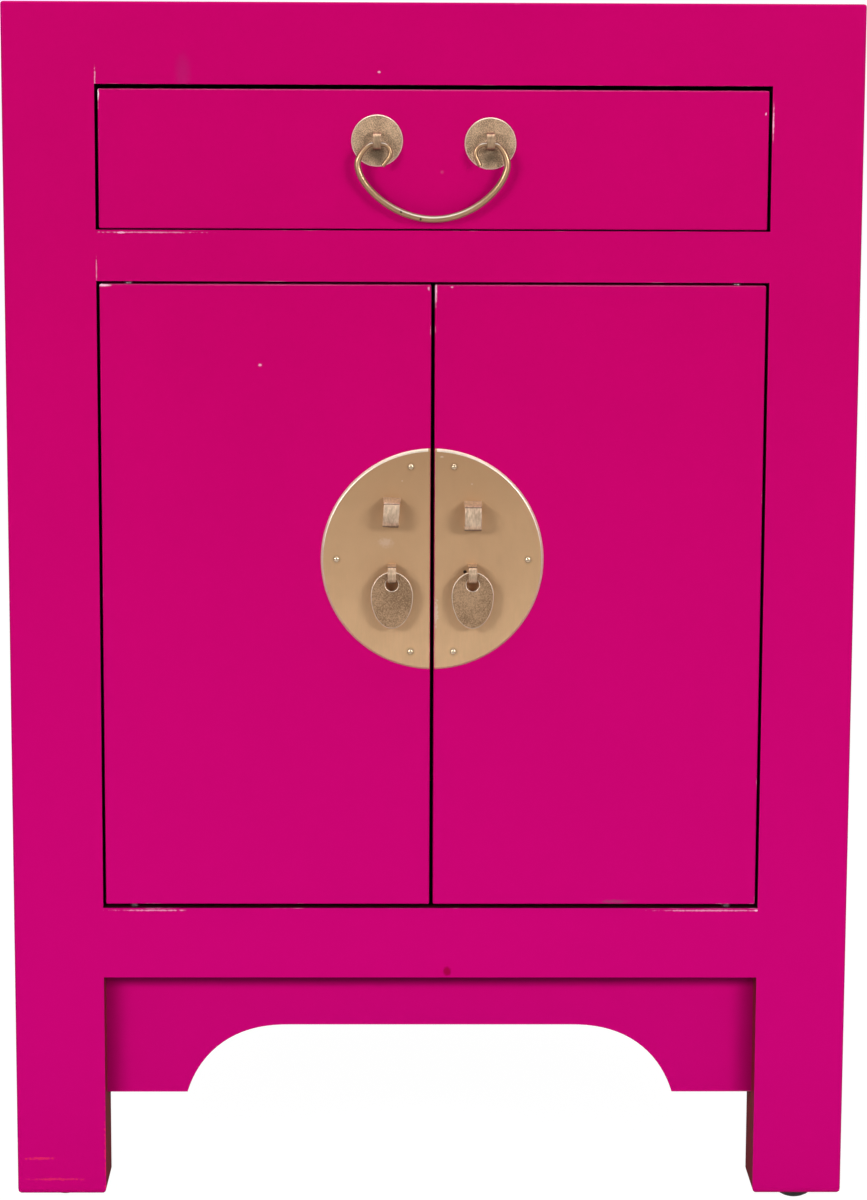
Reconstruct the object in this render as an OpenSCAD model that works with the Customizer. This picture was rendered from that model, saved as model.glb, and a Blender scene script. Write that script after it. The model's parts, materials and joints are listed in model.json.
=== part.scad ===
// Chinese bedside cabinet with one drawer above a pair of pivoted doors.
// Every piece is drawn in the cabinet's own lengths: x from the middle to the right, y from the
// front face backwards and z from the ends of the legs upwards. placed() then puts it on the floor.

/* [Cabinet] */
// Width over the posts
body_w = 420; // [380:1:520]
// Depth over the posts
body_d = 350; // [300:1:420]
// Height of the woodwork, without the glides
body_h = 600; // [560:1:700]

/* [Frame] */
// Width of a post, seen from the front
post_w = 45; // [42:1:54]
// Depth of a post, seen from the side
post_d = 35; // [32:1:44]
// Thickness of the top board
board_t = 18; // [15:1:24]
// Height of the rails under the top board
top_rail_h = 21.5; // [18:0.5:28]
// Height of the rail between the drawer and the doors
middle_rail_h = 25; // [20:1:32]
// Height of the rails under the doors
bottom_rail_h = 36; // [30:1:46]
// Height of the bottom rails above the ends of the legs
leg_h = 114; // [95:1:135]
// Thickness of the side rails
side_rail_t = 22; // [20:1:25]
// Depth of the back rails
back_rail_d = 22; // [20:1:26]
// Rounding of the outer corners of the posts and of the top board
frame_round = 1.5; // [0.5:0.1:3]
// Rounding of the ends of the legs
leg_round = 3; // [1:0.5:5]

/* [Joinery] */
// Thickness of the tenons of the rails
tenon_t = 12; // [8:1:13]
// Wood left between two tenons that meet in a post
tenon_wall = 3; // [2:0.5:5]
// Length of the tenons of the side rails
side_tenon_l = 15; // [10:1:18]
// Step from a rail's edge to its tenon
shoulder = 4; // [2:0.5:4.5]
// Depth of the grooves for panels, floor and aprons
groove = 6; // [4:0.5:7]
// Gap between a glued tenon or tongue and its slot
glue_gap = 0.1; // [0.05:0.05:0.2]
// Height of the stub tenons under the top board
stub_h = 10; // [6:1:12]
// Step from a post's faces to its stub tenon
stub_inset = 9; // [6:1:11]

/* [Panels and aprons] */
// Thickness of the side panels
panel_t = 10; // [6:1:11]
// Step from the side of the posts to a side panel
panel_recess = 5; // [3:1:6]
// Thickness of the back panel
back_t = 6; // [4:1:7]
// Step from the back of the posts to the back panel
back_recess = 6; // [5:1:7]
// Thickness of the cupboard floor
floor_t = 12; // [9:1:14]
// Step down from the top of the bottom rail to the floor
floor_drop = 4; // [3:1:6]
// Thickness of the aprons
apron_t = 12; // [8:1:14]
// Step from the front of the posts to the front apron
apron_setback = 14; // [8:1:16]
// Step from the side of the posts to a side apron
side_apron_setback = 5; // [3:1:8]
// Height of the lower edge of the aprons
apron_z = 50; // [35:1:70]
// Rise of the arch above the lower edge of the aprons
arch_rise = 35.5; // [20:0.5:45]
// Level length of an apron between a post and its arch
arch_foot = 41; // [25:1:50]
// Length of one curved flank of the arch
arch_flank = 52; // [30:1:60]
// Run-on of a flank's full curve past its foot, which makes the foot meet the lower edge aslant
arch_run_on = 3; // [0.5:0.5:8]
// Fullness of the arch's flanks, where 2 is a true ellipse
arch_fullness = 2.3; // [1.8:0.05:2.6]

/* [Glides] */
// Height of a glide under its leg
glide_h = 5; // [3:0.5:8]
// Diameter of a glide
glide_d = 22; // [16:1:28]
// Diameter of a glide's nail
glide_nail_d = 2.6; // [2:0.1:4]
// Length of a glide's nail
glide_nail_l = 14; // [8:1:20]
// How far the front glides are off the middle of their legs, the right one forward and the left one back
glide_shift = 3; // [0:0.25:3]

/* [Drawer] */
// Height of the drawer opening
drawer_open_h = 70.5; // [60:0.5:90]
// Thickness of the drawer front
drawer_front_t = 20; // [16:1:24]
// Gap on each side of the drawer
drawer_gap_side = 1.6; // [0.8:0.1:2.5]
// Gap above the drawer front
drawer_gap_top = 2.2; // [1:0.1:3]
// Gap below the drawer front
drawer_gap_bottom = 0.7; // [0.5:0.1:2]
// Gap between the drawer sides and their runners
runner_gap = 0.3; // [0.2:0.05:0.5]
// Gap between the drawer sides and the kickers above them
kicker_gap = 3; // [2:0.5:5]
// Gap between the drawer and the back panel
drawer_gap_back = 10; // [5:1:30]
// Thickness of the drawer sides
drawer_side_t = 12; // [9:1:15]
// Thickness of the drawer back
drawer_back_t = 10; // [8:1:12]
// Distance from the end of the drawer sides to the drawer back
drawer_back_inset = 8; // [4:1:20]
// Step down from the drawer sides to the top of the drawer back
drawer_back_drop = 8; // [2:1:15]
// Depth of the slots for the drawer back and the drawer bottom
drawer_slot = 5; // [3:0.5:6]
// Thickness of the drawer bottom
drawer_bottom_t = 6; // [4:1:8]
// Height of the drawer bottom above the lower edge of the sides
drawer_bottom_z = 8; // [6:1:12]
// Wood left in front of the dovetails
dovetail_lap = 8; // [5:1:10]
// Number of dovetails at each end of the drawer front
dovetails = 3; // [2:1:4]
// Flare of a dovetail on each side
dovetail_flare = 2; // [1:0.5:3]
// Width of a drawer runner
runner_w = 50; // [45:1:60]
// Thickness of a drawer runner
runner_t = 18; // [14:1:22]
// Length of a runner's tenons
runner_tenon_l = 10; // [6:1:11]
// Height of the guides beside the drawer
guide_h = 18; // [12:1:30]
// Width of the kickers above the drawer sides
kicker_w = 40; // [38:1:50]

/* [Drawer pull] */
// Distance between the two eyes
pull_span = 55.2; // [45:0.1:80]
// Height of the eyes above the middle of the drawer front
pull_rise = 9.1; // [4:0.1:12]
// Diameter of a rosette
rosette_d = 25.2; // [20:0.1:30]
// Thickness of a rosette
rosette_t = 1.2; // [0.8:0.1:2]
// Distance of a rosette's middle below its eye
rosette_drop = 0.6; // [0:0.1:1]
// Width of the strap of the pull's eyes
pull_strap_w = 4.3; // [3.5:0.1:5.2]
// Thickness of the strap of the pull's eyes
pull_strap_t = 1.3; // [1:0.1:1.4]
// Inner diameter of the pull's eyes
pull_eye_d = 6; // [5:0.1:7]
// Distance from a rosette to the middle of its eye
pull_eye_reach = 5.2; // [4.8:0.1:8]
// Level length of the bail past each side of the strap of its eye
pin_past_strap = 0.65; // [0.3:0.05:1]
// Diameter of the bail at its middle
wire_middle_d = 3.4; // [3:0.1:4.4]
// Diameter of the bail where its bow is widest
wire_knee_d = 3.1; // [2.4:0.1:3.4]
// Diameter of the bail in its eyes
wire_eye_d = 2.3; // [1.8:0.1:2.6]
// Depth of the bail's bow below the wire in its eyes
bow_drop = 36.8; // [33:0.1:40]
// Half the width of the bow where it is widest
bow_half_w = 36.3; // [34:0.1:40]
// Distance of that widest place below the wire in the eyes
bow_waist = 9.5; // [7:0.1:12]
// Radius of the curl at the end of the bail
curl_r = 4.5; // [4:0.1:6]
// Straight tip after the curl
curl_tip = 5; // [2:0.5:7]

/* [Doors] */
// Thickness of the doors
door_t = 20; // [18:1:24]
// Gap above the doors
door_gap_top = 1.3; // [0.8:0.1:2]
// Gap below the doors
door_gap_bottom = 2; // [1:0.1:3]
// Gap between the two doors
meeting_gap = 1.8; // [1.6:0.1:3]
// Room between a door's corner and its post while the door swings
swing_room = 0.5; // [0.3:0.1:1]
// Distance from a door's side edge to its pivot
pivot_inset = 14; // [11:0.5:18]
// Distance from a door's face to its pivot
pivot_depth = 6; // [5:0.5:8]
// Diameter of the pivot pins
pivot_d = 5; // [4:0.5:6]
// Length of a pivot pin inside the door
pivot_in_door = 14; // [10:1:20]
// Length of a pivot pin inside the rail
pivot_in_rail = 10; // [8:1:14]
// Gap between a pivot pin and its hole
pivot_gap = 0.05; // [0.02:0.01:0.1]
// Rounding of the edges of the doors and the drawer front
edge_round = 1; // [0.6:0.1:1.5]
// Height of the strip that the doors close against
stop_h = 16; // [12:1:20]
// Thickness of that strip
stop_t = 12; // [10:1:13]
// Gap between the closed doors and the strip
stop_gap = 0.3; // [0.2:0.1:0.5]
// Distance from a door's pivot to the end of the strip
stop_end = 25; // [20:1:40]
// Diameter of the door magnets
magnet_d = 8; // [6:1:9]
// Length of the door magnets
magnet_l = 9; // [6:1:9.5]
// Diameter of the strike discs in the doors
strike_d = 9; // [7:1:11]
// Thickness of the strike discs
strike_t = 1.5; // [1:0.1:2]
// Distance of the magnets from the middle of the cabinet
magnet_x = 60; // [20:1:90]

/* [Moon lock plate] */
// Diameter of the round plate
plate_d = 110.6; // [104:0.1:130]
// Thickness of the plate
plate_t = 1.5; // [1:0.1:2]
// Height of the plate's middle above the middle of the doors
plate_rise = 19.9; // [0:0.1:40]
// Step from a door's edge to the edge of its half plate
plate_step = 0.3; // [0.2:0.1:1]
// Slope at the rim of the plate
plate_bevel = 0.7; // [0.3:0.1:0.9]
// Radius of the ring of nails
nail_ring_r = 47.5; // [42:0.5:50]
// Angle of the upper and lower nails from the level
nail_a = 77; // [70:1:80]
// Diameter of a nail's head
nail_head_d = 3; // [2:0.1:4]
// Height of a nail's head
nail_head_h = 0.9; // [0.6:0.1:1.4]
// Diameter of a nail
nail_d = 1.5; // [1:0.1:1.8]
// Length of a nail
nail_l = 12; // [8:1:15]
// Distance of the loops and the tags from the middle of the cabinet
fitting_x = 20; // [18:0.1:26]
// Width of the lock loops
loop_w = 9; // [7:0.1:11]
// Thickness of their strap
loop_strap_t = 1.6; // [1.2:0.1:2]
// Height of the top of the loops above the plate's middle
loop_top = 30.2; // [26:0.1:34]
// Height of the loops
loop_h = 14; // [12:0.1:18]
// Reach of the loops in front of the plate
loop_reach = 12; // [10:0.1:15]
// Fall of the upper arm of a loop towards the front
loop_fall = 1.6; // [0:0.1:3]
// Radius of the lower bend of a loop
loop_bend_r = 4; // [3:0.1:5]
// Height of the left loop above the right one, as they were fitted by hand
loop_step = 1.7; // [-2:0.1:2]
// Length of the clenched ends of the loops and eyes
clench_l = 5; // [4:0.5:6]

/* [Tag pulls] */
// Distance of the middle of a tag's eye below the plate's middle
tag_eye_fall = 6.5; // [5:0.1:10]
// Inner diameter of a tag's eye
tag_eye_d = 6.8; // [6.6:0.1:7.2]
// Width of the strap of a tag's eye
tag_strap_w = 4.6; // [3.8:0.1:4.7]
// Thickness of the strap of a tag's eye
tag_strap_t = 1; // [0.8:0.1:1.2]
// Distance from the plate to the middle of a tag's eye
tag_eye_reach = 6.3; // [6:0.1:8]
// Width of a tag
tag_w = 21; // [18:0.1:26]
// Height of a tag
tag_h = 28.4; // [26:0.1:34]
// Thickness of a tag
tag_t = 2; // [1.2:0.1:2]
// Height of a tag's top above the middle of its eye
tag_rise = 1.3; // [0.8:0.1:1.8]
// Share of a tag's height above its widest place
tag_belly = 0.42; // [0.35:0.01:0.5]
// Diameter of the hole in a tag
tag_hole_d = 6.2; // [6.1:0.1:6.8]
// Distance from the middle of the eye to the middle of the tag's hole
tag_hole_drop = 5.1; // [4.9:0.1:5.2]

/* [Hidden] */

$fn = 96;

// Colours
lacquer = "#c8006a";
dark_wood = "#3a2824";
pale_wood = "#c9a477";
brass = "#be9b6e";
steel = "#9a9a9c";
plastic = "#1a1a1c";

// How far a joined solid reaches into its neighbour, so that the two become one
bite = 1;
// How far a cut reaches past the face that it opens
past = 1;
// Flat steps in a rounded edge
round_steps = 3;
// Steps in one flank of the arch
arch_steps = 20;

// Heights, from the ends of the legs
board_z = body_h - board_t;
top_rail_z = [board_z - top_rail_h, board_z];
drawer_z = [top_rail_z[0] - drawer_open_h, top_rail_z[0]];
middle_rail_z = [drawer_z[0] - middle_rail_h, drawer_z[0]];
bottom_rail_z = [leg_h, leg_h + bottom_rail_h];
opening_z = [bottom_rail_z[1], middle_rail_z[0]];
door_z = [opening_z[0] + door_gap_bottom, opening_z[1] - door_gap_top];
floor_z = [opening_z[0] - floor_drop - floor_t, opening_z[0] - floor_drop];

// Widths, from the middle of the cabinet to the right
side_x = body_w / 2;
open_x = side_x - post_w;
post_x = [open_x, side_x];
side_rail_x = [side_x - side_rail_t, side_x];
panel_x = [side_x - panel_recess - panel_t, side_x - panel_recess];
side_apron_x = [side_x - side_apron_setback - apron_t, side_x - side_apron_setback];
runner_x = [panel_x[0] - runner_w, panel_x[0]];
kicker_x = [side_rail_x[0] - kicker_w, side_rail_x[0]];

// Depths, from the front face of the cabinet
front_post_y = [0, post_d];
left_glide_y = post_d / 2 + glide_shift;
right_glide_y = post_d / 2 - glide_shift;
back_post_y = [body_d - post_d, body_d];
between_posts_y = [post_d, body_d - post_d];
back_rail_y = [body_d - back_rail_d, body_d];
back_panel_y = [body_d - back_recess - back_t, body_d - back_recess];
apron_y = [apron_setback, apron_setback + apron_t];

// The tenons of the front and back rails stop short of those of the side rails
side_tenon_x = centred(side_rail_x, tenon_t);
rail_tenon_l = side_tenon_x[0] - tenon_wall - open_x;
// A tenon beside a groove keeps clear of what lies in the groove
groove_shoulder = groove + shoulder / 2;
top_side_tenon_z = [top_rail_z[0] + groove_shoulder, top_rail_z[1] - shoulder];
bottom_side_tenon_z = [bottom_rail_z[0] + groove_shoulder, bottom_rail_z[1] - groove_shoulder];
top_front_tenon_z = grow(top_rail_z, -shoulder);
middle_tenon_z = grow(middle_rail_z, -shoulder);
bottom_front_tenon_z = [bottom_rail_z[0] + groove_shoulder, bottom_rail_z[1] - shoulder];

// The drawer
drawer_x = open_x - drawer_gap_side;
drawer_front_z = [drawer_z[0] + drawer_gap_bottom, drawer_z[1] - drawer_gap_top];
drawer_side_x = [drawer_x - drawer_side_t, drawer_x];
drawer_side_z = [drawer_z[0] + runner_gap, drawer_z[1] - kicker_gap];
drawer_l = back_panel_y[0] - drawer_gap_back;
runner_z = [drawer_z[0] - runner_t, drawer_z[0]];
drawer_back_y = [drawer_l - drawer_back_inset - drawer_back_t, drawer_l - drawer_back_inset];
drawer_bottom_zr = [drawer_side_z[0] + drawer_bottom_z,
                    drawer_side_z[0] + drawer_bottom_z + drawer_bottom_t];

// The drawer pull
pull_x = pull_span / 2;
pull_eye_z = middle(drawer_front_z) + pull_rise;
pull_eye_y = -(rosette_t + pull_eye_reach);
// Room below the wire in its eye
wire_seat = 0.25;
wire_z = pull_eye_z - (pull_eye_d / 2 - wire_eye_d / 2 - wire_seat);
// Half the level length of the wire in its eye
wire_level = pull_strap_w / 2 + pin_past_strap;
// Handles of the two curves of the bow: level at its foot, upright below and above its widest
// place, and level at the eye
foot_handle = bow_half_w * 0.55;
rise_handle = bow_drop * 0.27;
knee_handle = 3.5;
eye_handle = 2.6;
curl_end_a = -35;

// The doors. The gap beside a door lets its rounded front corner swing past the post
swing_r = norm([pivot_inset, pivot_depth - edge_round * 0.7]);
door_gap_side = swing_r - pivot_inset + swing_room;
door_x = [meeting_gap / 2, open_x - door_gap_side];
pivot_x = door_x[1] - pivot_inset;
stop_y = [door_t + stop_gap, door_t + stop_gap + stop_t];
stop_z = [opening_z[1] - stop_h, opening_z[1]];
magnet_z = middle(stop_z);
upper_pin_z = [door_z[1] - pivot_in_door, opening_z[1] + pivot_in_rail];
lower_pin_z = [opening_z[0] - pivot_in_rail, door_z[0] + pivot_in_door];

// The round plate and its fittings
plate_z = middle(door_z) + plate_rise;
tag_eye_z = plate_z - tag_eye_fall;
tag_eye_y = -(plate_t + tag_eye_reach);
loop_z = [plate_z + loop_top - loop_h, plate_z + loop_top];
// Room round a strap in its slots
slot_room = 0.15;

// The furthest that any fitting stands out in front of the cabinet
front_reach = max(plate_t + loop_reach,
                  -tag_eye_y + tag_eye_d / 2 + tag_strap_t,
                  -pull_eye_y + pull_eye_d / 2 + pull_strap_t);

function middle(r) = (r[0] + r[1]) / 2;
function grow(r, g) = [r[0] - g, r[1] + g];
function centred(r, t) = [middle(r) - t / 2, middle(r) + t / 2];
function reversed(list) = [for (i = [len(list) - 1 : -1 : 0]) list[i]];

// A quarter round of radius r in the corner of a profile, or the bare corner where r is 0
function corner(a, b, r, turn) = r == 0 ? [[a, b]] :
    [for (i = [0 : round_steps]) let (t = turn + 90 * i / round_steps) [a + r * cos(t), b + r * sin(t)]];

// The points of a rectangle whose corners are rounded by r: low left, low right, high right, high left
function rounded_rect(a, b, r) = concat(
    corner(a[0] + r[0], b[0] + r[0], r[0], 180),
    corner(a[1] - r[1], b[0] + r[1], r[1], 270),
    corner(a[1] - r[2], b[1] - r[2], r[2], 0),
    corner(a[0] + r[3], b[1] - r[3], r[3], 90));

// Puts a piece on the floor, with the middle of the whole object's outline above the origin
module placed() {
    translate([0, (front_reach - body_d) / 2, glide_h]) children();
}
module right() {
    children();
}
module left() {
    mirror([1, 0, 0]) children();
}
module both() {
    right() children();
    left() children();
}

// A box that fills three ranges
module span(x, y, z) {
    translate([x[0], y[0], z[0]]) cube([x[1] - x[0], y[1] - y[0], z[1] - z[0]]);
}

// Profiles drawn in two lengths and drawn out along the third
module along_x(x) {
    translate([x[0], 0, 0]) rotate([90, 0, 90]) linear_extrude(x[1] - x[0]) children();
}
module along_y(y) {
    translate([0, y[1], 0]) rotate([90, 0, 0]) linear_extrude(y[1] - y[0]) children();
}
module along_z(z) {
    translate([0, 0, z[0]]) linear_extrude(z[1] - z[0]) children();
}

// A board with every edge rounded
module rounded_board(x, y, z, r) {
    rs = [r, r, r, r];
    intersection() {
        along_z(z) polygon(rounded_rect(x, y, rs));
        along_x(x) polygon(rounded_rect(y, z, rs));
        along_y(y) polygon(rounded_rect(x, z, rs));
    }
}

// Tenons on the right, also used to cut their mortises with a gap g round them
module rail_tenon(y, z, g = 0) {
    span([open_x - bite, open_x + rail_tenon_l + g], grow(centred(y, tenon_t), g), grow(z, g));
}
module side_tenons(z, g = 0) {
    span(grow(side_tenon_x, g), grow(between_posts_y, side_tenon_l + g), grow(z, g));
}
module runner_tenons(g = 0) {
    front_x = grow([runner_x[0], open_x], g - shoulder);
    back_x = grow([open_x, runner_x[1]], g - shoulder);
    z = grow(runner_z, g - shoulder);
    span(front_x, [post_d - runner_tenon_l - g, post_d + bite], z);
    span(back_x, [back_post_y[0] - bite, back_post_y[0] + runner_tenon_l + g], z);
}

// Panels in their grooves, with a gap g round them when they cut the grooves
module side_panel_shape(g = 0) {
    span(grow(panel_x, g), grow(between_posts_y, groove + g),
         [bottom_rail_z[1] - groove - g, top_rail_z[0] + groove + g]);
}
module back_panel_shape(g = 0) {
    span([-open_x - groove - g, open_x + groove + g], grow(back_panel_y, g),
         [bottom_rail_z[1] - groove - g, top_rail_z[0] + groove + g]);
}
module floor_shape(g = 0) {
    span([-open_x + glue_gap - g, open_x - glue_gap + g],
         [post_d - groove - g, back_rail_y[0] + groove + g], grow(floor_z, g));
    span([-side_rail_x[0] - groove - g, side_rail_x[0] + groove + g],
         grow(between_posts_y, g - glue_gap), grow(floor_z, g));
}

// The full curve of a flank, of which the arch shows the part above its foot
arch_full_l = arch_flank + arch_run_on;
arch_foot_u = arch_flank / arch_full_l;
function arch_curve(u) = pow(1 - pow(u, arch_fullness), 1 / arch_fullness);
arch_full_h = arch_rise / (1 - arch_curve(arch_foot_u));

// The arched lower outline of an apron between two posts that are 2 * half apart
function flank(half) = [for (i = [0 : arch_steps]) let (u = arch_foot_u * sin(90 * i / arch_steps))
    [half - arch_foot - arch_flank + arch_full_l * u,
     apron_z + arch_rise - arch_full_h * (1 - arch_curve(u))]];
function apron_outline(half, g) = let (
        right_flank = flank(half),
        top = leg_h + groove + g,
        end = half + groove + g)
    concat([[-end, top], [-end, apron_z - g]],
           [for (p = reversed(right_flank)) [-p[0], p[1]]],
           right_flank,
           [[end, apron_z - g], [end, top]]);
module front_apron_shape(g = 0) {
    along_y(grow(apron_y, g)) polygon(apron_outline(open_x, g));
}
module side_apron_shape(g = 0) {
    middle_y = body_d / 2;
    translate([0, middle_y, 0])
        along_x(grow(side_apron_x, g)) polygon(apron_outline(middle_y - post_d, g));
}

// Frame
module post_blank(y, corner_r) {
    stub_x = grow(post_x, -stub_inset);
    leg_r = [leg_round, leg_round, 0, 0];
    intersection() {
        along_z([0, board_z]) polygon(rounded_rect(post_x, y, corner_r));
        along_x(post_x) polygon(rounded_rect(y, [0, board_z], leg_r));
        along_y(y) polygon(rounded_rect(post_x, [0, board_z], leg_r));
    }
    span(stub_x, grow(y, -stub_inset), [board_z - bite, board_z + stub_h]);
}
module glide_hole(y) {
    translate([middle(post_x), y, -past])
        cylinder(d = glide_nail_d + 2 * glue_gap, h = glide_nail_l + 2 * past);
}
module post_side_cuts() {
    side_tenons(top_side_tenon_z, glue_gap);
    side_tenons(bottom_side_tenon_z, glue_gap);
    side_panel_shape(glue_gap);
    side_apron_shape(glue_gap);
}
module front_post(glide_y) {
    color(lacquer) placed() difference() {
        post_blank(front_post_y, [0, frame_round, 0, 0]);
        rail_tenon(front_post_y, top_front_tenon_z, glue_gap);
        rail_tenon(front_post_y, middle_tenon_z, glue_gap);
        rail_tenon(front_post_y, bottom_front_tenon_z, glue_gap);
        front_apron_shape(glue_gap);
        post_side_cuts();
        glide_hole(glide_y);
    }
}
module back_post() {
    color(lacquer) placed() difference() {
        post_blank(back_post_y, [0, 0, frame_round, 0]);
        rail_tenon(back_rail_y, top_side_tenon_z, glue_gap);
        rail_tenon(back_rail_y, bottom_side_tenon_z, glue_gap);
        runner_tenons(glue_gap);
        back_panel_shape(glue_gap);
        post_side_cuts();
        glide_hole(middle(back_post_y));
    }
}
module top_board() {
    top = [board_z, body_h];
    r = frame_round;
    color(lacquer) placed() difference() {
        intersection() {
            along_z(top) polygon(rounded_rect([-side_x, side_x], [0, body_d], [r, r, r, r]));
            along_x([-side_x, side_x]) polygon(rounded_rect([0, body_d], top, [0, 0, r, r]));
            along_y([0, body_d]) polygon(rounded_rect([-side_x, side_x], top, [0, 0, r, r]));
        }
        both() for (y = [front_post_y, back_post_y])
            span(grow(post_x, glue_gap - stub_inset), grow(y, glue_gap - stub_inset),
                 [board_z - past, board_z + stub_h + glue_gap]);
    }
}
module cross_rail(y, z, tenon_z) {
    span([-open_x, open_x], y, z);
    both() rail_tenon(y, tenon_z);
}
module top_rail_front() {
    color(lacquer) placed() cross_rail(front_post_y, top_rail_z, top_front_tenon_z);
}
module top_rail_back() {
    color(lacquer) placed() difference() {
        cross_rail(back_rail_y, top_rail_z, top_side_tenon_z);
        back_panel_shape(glue_gap);
    }
}
module pivot_hole(z) {
    translate([pivot_x, pivot_depth, z[0]])
        cylinder(d = pivot_d + 2 * pivot_gap, h = z[1] - z[0]);
}
module middle_rail() {
    color(lacquer) placed() difference() {
        cross_rail(front_post_y, middle_rail_z, middle_tenon_z);
        both() runner_tenons(glue_gap);
        both() pivot_hole([middle_rail_z[0] - past, upper_pin_z[1] + stop_gap]);
    }
}
module bottom_rail_front() {
    color(lacquer) placed() difference() {
        cross_rail(front_post_y, bottom_rail_z, bottom_front_tenon_z);
        floor_shape(glue_gap);
        front_apron_shape(glue_gap);
        both() pivot_hole([lower_pin_z[0] - stop_gap, bottom_rail_z[1] + past]);
    }
}
module bottom_rail_back() {
    color(lacquer) placed() difference() {
        cross_rail(back_rail_y, bottom_rail_z, bottom_side_tenon_z);
        floor_shape(glue_gap);
        back_panel_shape(glue_gap);
    }
}
module side_rail_top() {
    color(lacquer) placed() difference() {
        union() {
            span(side_rail_x, between_posts_y, top_rail_z);
            side_tenons(top_side_tenon_z);
        }
        side_panel_shape(glue_gap);
    }
}
module side_rail_bottom() {
    color(lacquer) placed() difference() {
        union() {
            span(side_rail_x, between_posts_y, bottom_rail_z);
            side_tenons(bottom_side_tenon_z);
        }
        side_panel_shape(glue_gap);
        side_apron_shape(glue_gap);
        floor_shape(glue_gap);
    }
}
module side_panel() {
    color(lacquer) placed() side_panel_shape();
}
module back_panel() {
    color(dark_wood) placed() back_panel_shape();
}
module apron_front() {
    color(lacquer) placed() front_apron_shape();
}
module apron_side() {
    color(lacquer) placed() side_apron_shape();
}
module cupboard_floor() {
    color(dark_wood) placed() floor_shape();
}

// What carries and guides the drawer
module drawer_runner() {
    color(pale_wood) placed() {
        span(runner_x, between_posts_y, runner_z);
        runner_tenons();
    }
}
module drawer_guide() {
    color(pale_wood) placed()
        span([open_x, panel_x[0]], between_posts_y, [drawer_z[0], drawer_z[0] + guide_h]);
}
module drawer_kicker() {
    color(pale_wood) placed() span(kicker_x, between_posts_y, top_rail_z);
}

// What the doors close against
module magnet_places() {
    both() translate([magnet_x, stop_y[0], magnet_z]) rotate([-90, 0, 0]) children();
}
module door_stop() {
    color(dark_wood) placed() difference() {
        span([-pivot_x + stop_end, pivot_x - stop_end], stop_y, stop_z);
        magnet_places() translate([0, 0, -past])
            cylinder(d = magnet_d + 2 * glue_gap, h = past + magnet_l + glue_gap);
    }
}
module door_magnets() {
    color(steel) placed() magnet_places() cylinder(d = magnet_d, h = magnet_l);
}

// Glides: domes with a small flat on the floor, nailed into the legs
module glide(y) {
    flat = 0.5;
    dome_h = glide_h + flat;
    dome_r = (pow(glide_d / 2, 2) + pow(dome_h, 2)) / (2 * dome_h);
    translate([middle(post_x), y, 0]) {
        intersection() {
            translate([0, 0, dome_r - dome_h]) sphere(r = dome_r);
            translate([0, 0, -glide_h]) cylinder(d = glide_d + bite, h = glide_h);
        }
        translate([0, 0, -bite]) cylinder(d = glide_nail_d, h = glide_nail_l + bite);
    }
}
module foot_glides() {
    color(plastic) placed() {
        left() glide(left_glide_y);
        right() glide(right_glide_y);
        both() glide(middle(back_post_y));
    }
}

// Drawer box
module drawer_tails(g = 0) {
    pitch = (drawer_side_z[1] - drawer_side_z[0]) / dovetails;
    root = pitch / 2 - 2 * dovetail_flare;
    y = [dovetail_lap - g, drawer_front_t + bite];
    for (i = [0 : dovetails - 1]) {
        z = drawer_side_z[0] + pitch * (i + 0.5);
        along_x(grow(drawer_side_x, g)) polygon([
            [y[0], z - root / 2 - dovetail_flare - g], [y[1], z - root / 2 - g],
            [y[1], z + root / 2 + g], [y[0], z + root / 2 + dovetail_flare + g]]);
    }
}
module drawer_bottom_shape(g = 0) {
    x = drawer_side_x[0] + drawer_slot + g;
    span([-x, x], [drawer_front_t - drawer_slot - g, drawer_back_y[1] + g], grow(drawer_bottom_zr, g));
}
module drawer_back_shape(g = 0) {
    x = drawer_side_x[0] + drawer_slot + g;
    span([-x, x], grow(drawer_back_y, g),
         [drawer_bottom_zr[1] + glue_gap - g, drawer_side_z[1] - drawer_back_drop + g]);
}
module drawer_front() {
    color(lacquer) placed() difference() {
        rounded_board([-drawer_x, drawer_x], [0, drawer_front_t], drawer_front_z, edge_round);
        both() drawer_tails(glue_gap);
        drawer_bottom_shape(glue_gap);
        both() pull_slots([-past, drawer_front_t + past]);
    }
}
module drawer_side() {
    color(pale_wood) placed() difference() {
        union() {
            span(drawer_side_x, [drawer_front_t, drawer_l], drawer_side_z);
            drawer_tails();
        }
        drawer_bottom_shape(glue_gap);
        drawer_back_shape(glue_gap);
    }
}
module drawer_back() {
    color(pale_wood) placed() drawer_back_shape();
}
module drawer_bottom() {
    color(pale_wood) placed() drawer_bottom_shape();
}

// Slots for the two arms of a strap w wide and t thick, which fill the range z between them
module arm_slots(w, t, z, y) {
    for (arm = [[z[0], z[0] + t], [z[1] - t, z[1]]])
        span(grow([-w / 2, w / 2], slot_room), y, grow(arm, slot_room));
}

// An eye bent from one strap: a round front on two level arms, which go back through a board and
// are bent apart behind it. The middle of the round is the origin.
module strap_eye(inner_d, w, t, back_y) {
    outer_d = inner_d + 2 * t;
    translate([-w / 2, 0, 0]) rotate([90, 0, 90]) difference() {
        union() {
            cylinder(d = outer_d, h = w);
            translate([0, -outer_d / 2, 0]) cube([back_y, outer_d, w]);
            translate([back_y, -outer_d / 2 - clench_l, 0]) cube([t, outer_d + 2 * clench_l, w]);
        }
        translate([0, 0, -past]) cylinder(d = inner_d, h = w + 2 * past);
        translate([0, -inner_d / 2, -past]) cube([back_y + 2 * t, inner_d, w + 2 * past]);
    }
}
module pull_slots(y) {
    outer_r = pull_eye_d / 2 + pull_strap_t;
    translate([pull_x, 0, pull_eye_z])
        arm_slots(pull_strap_w, pull_strap_t, [-outer_r, outer_r], y);
}
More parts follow.
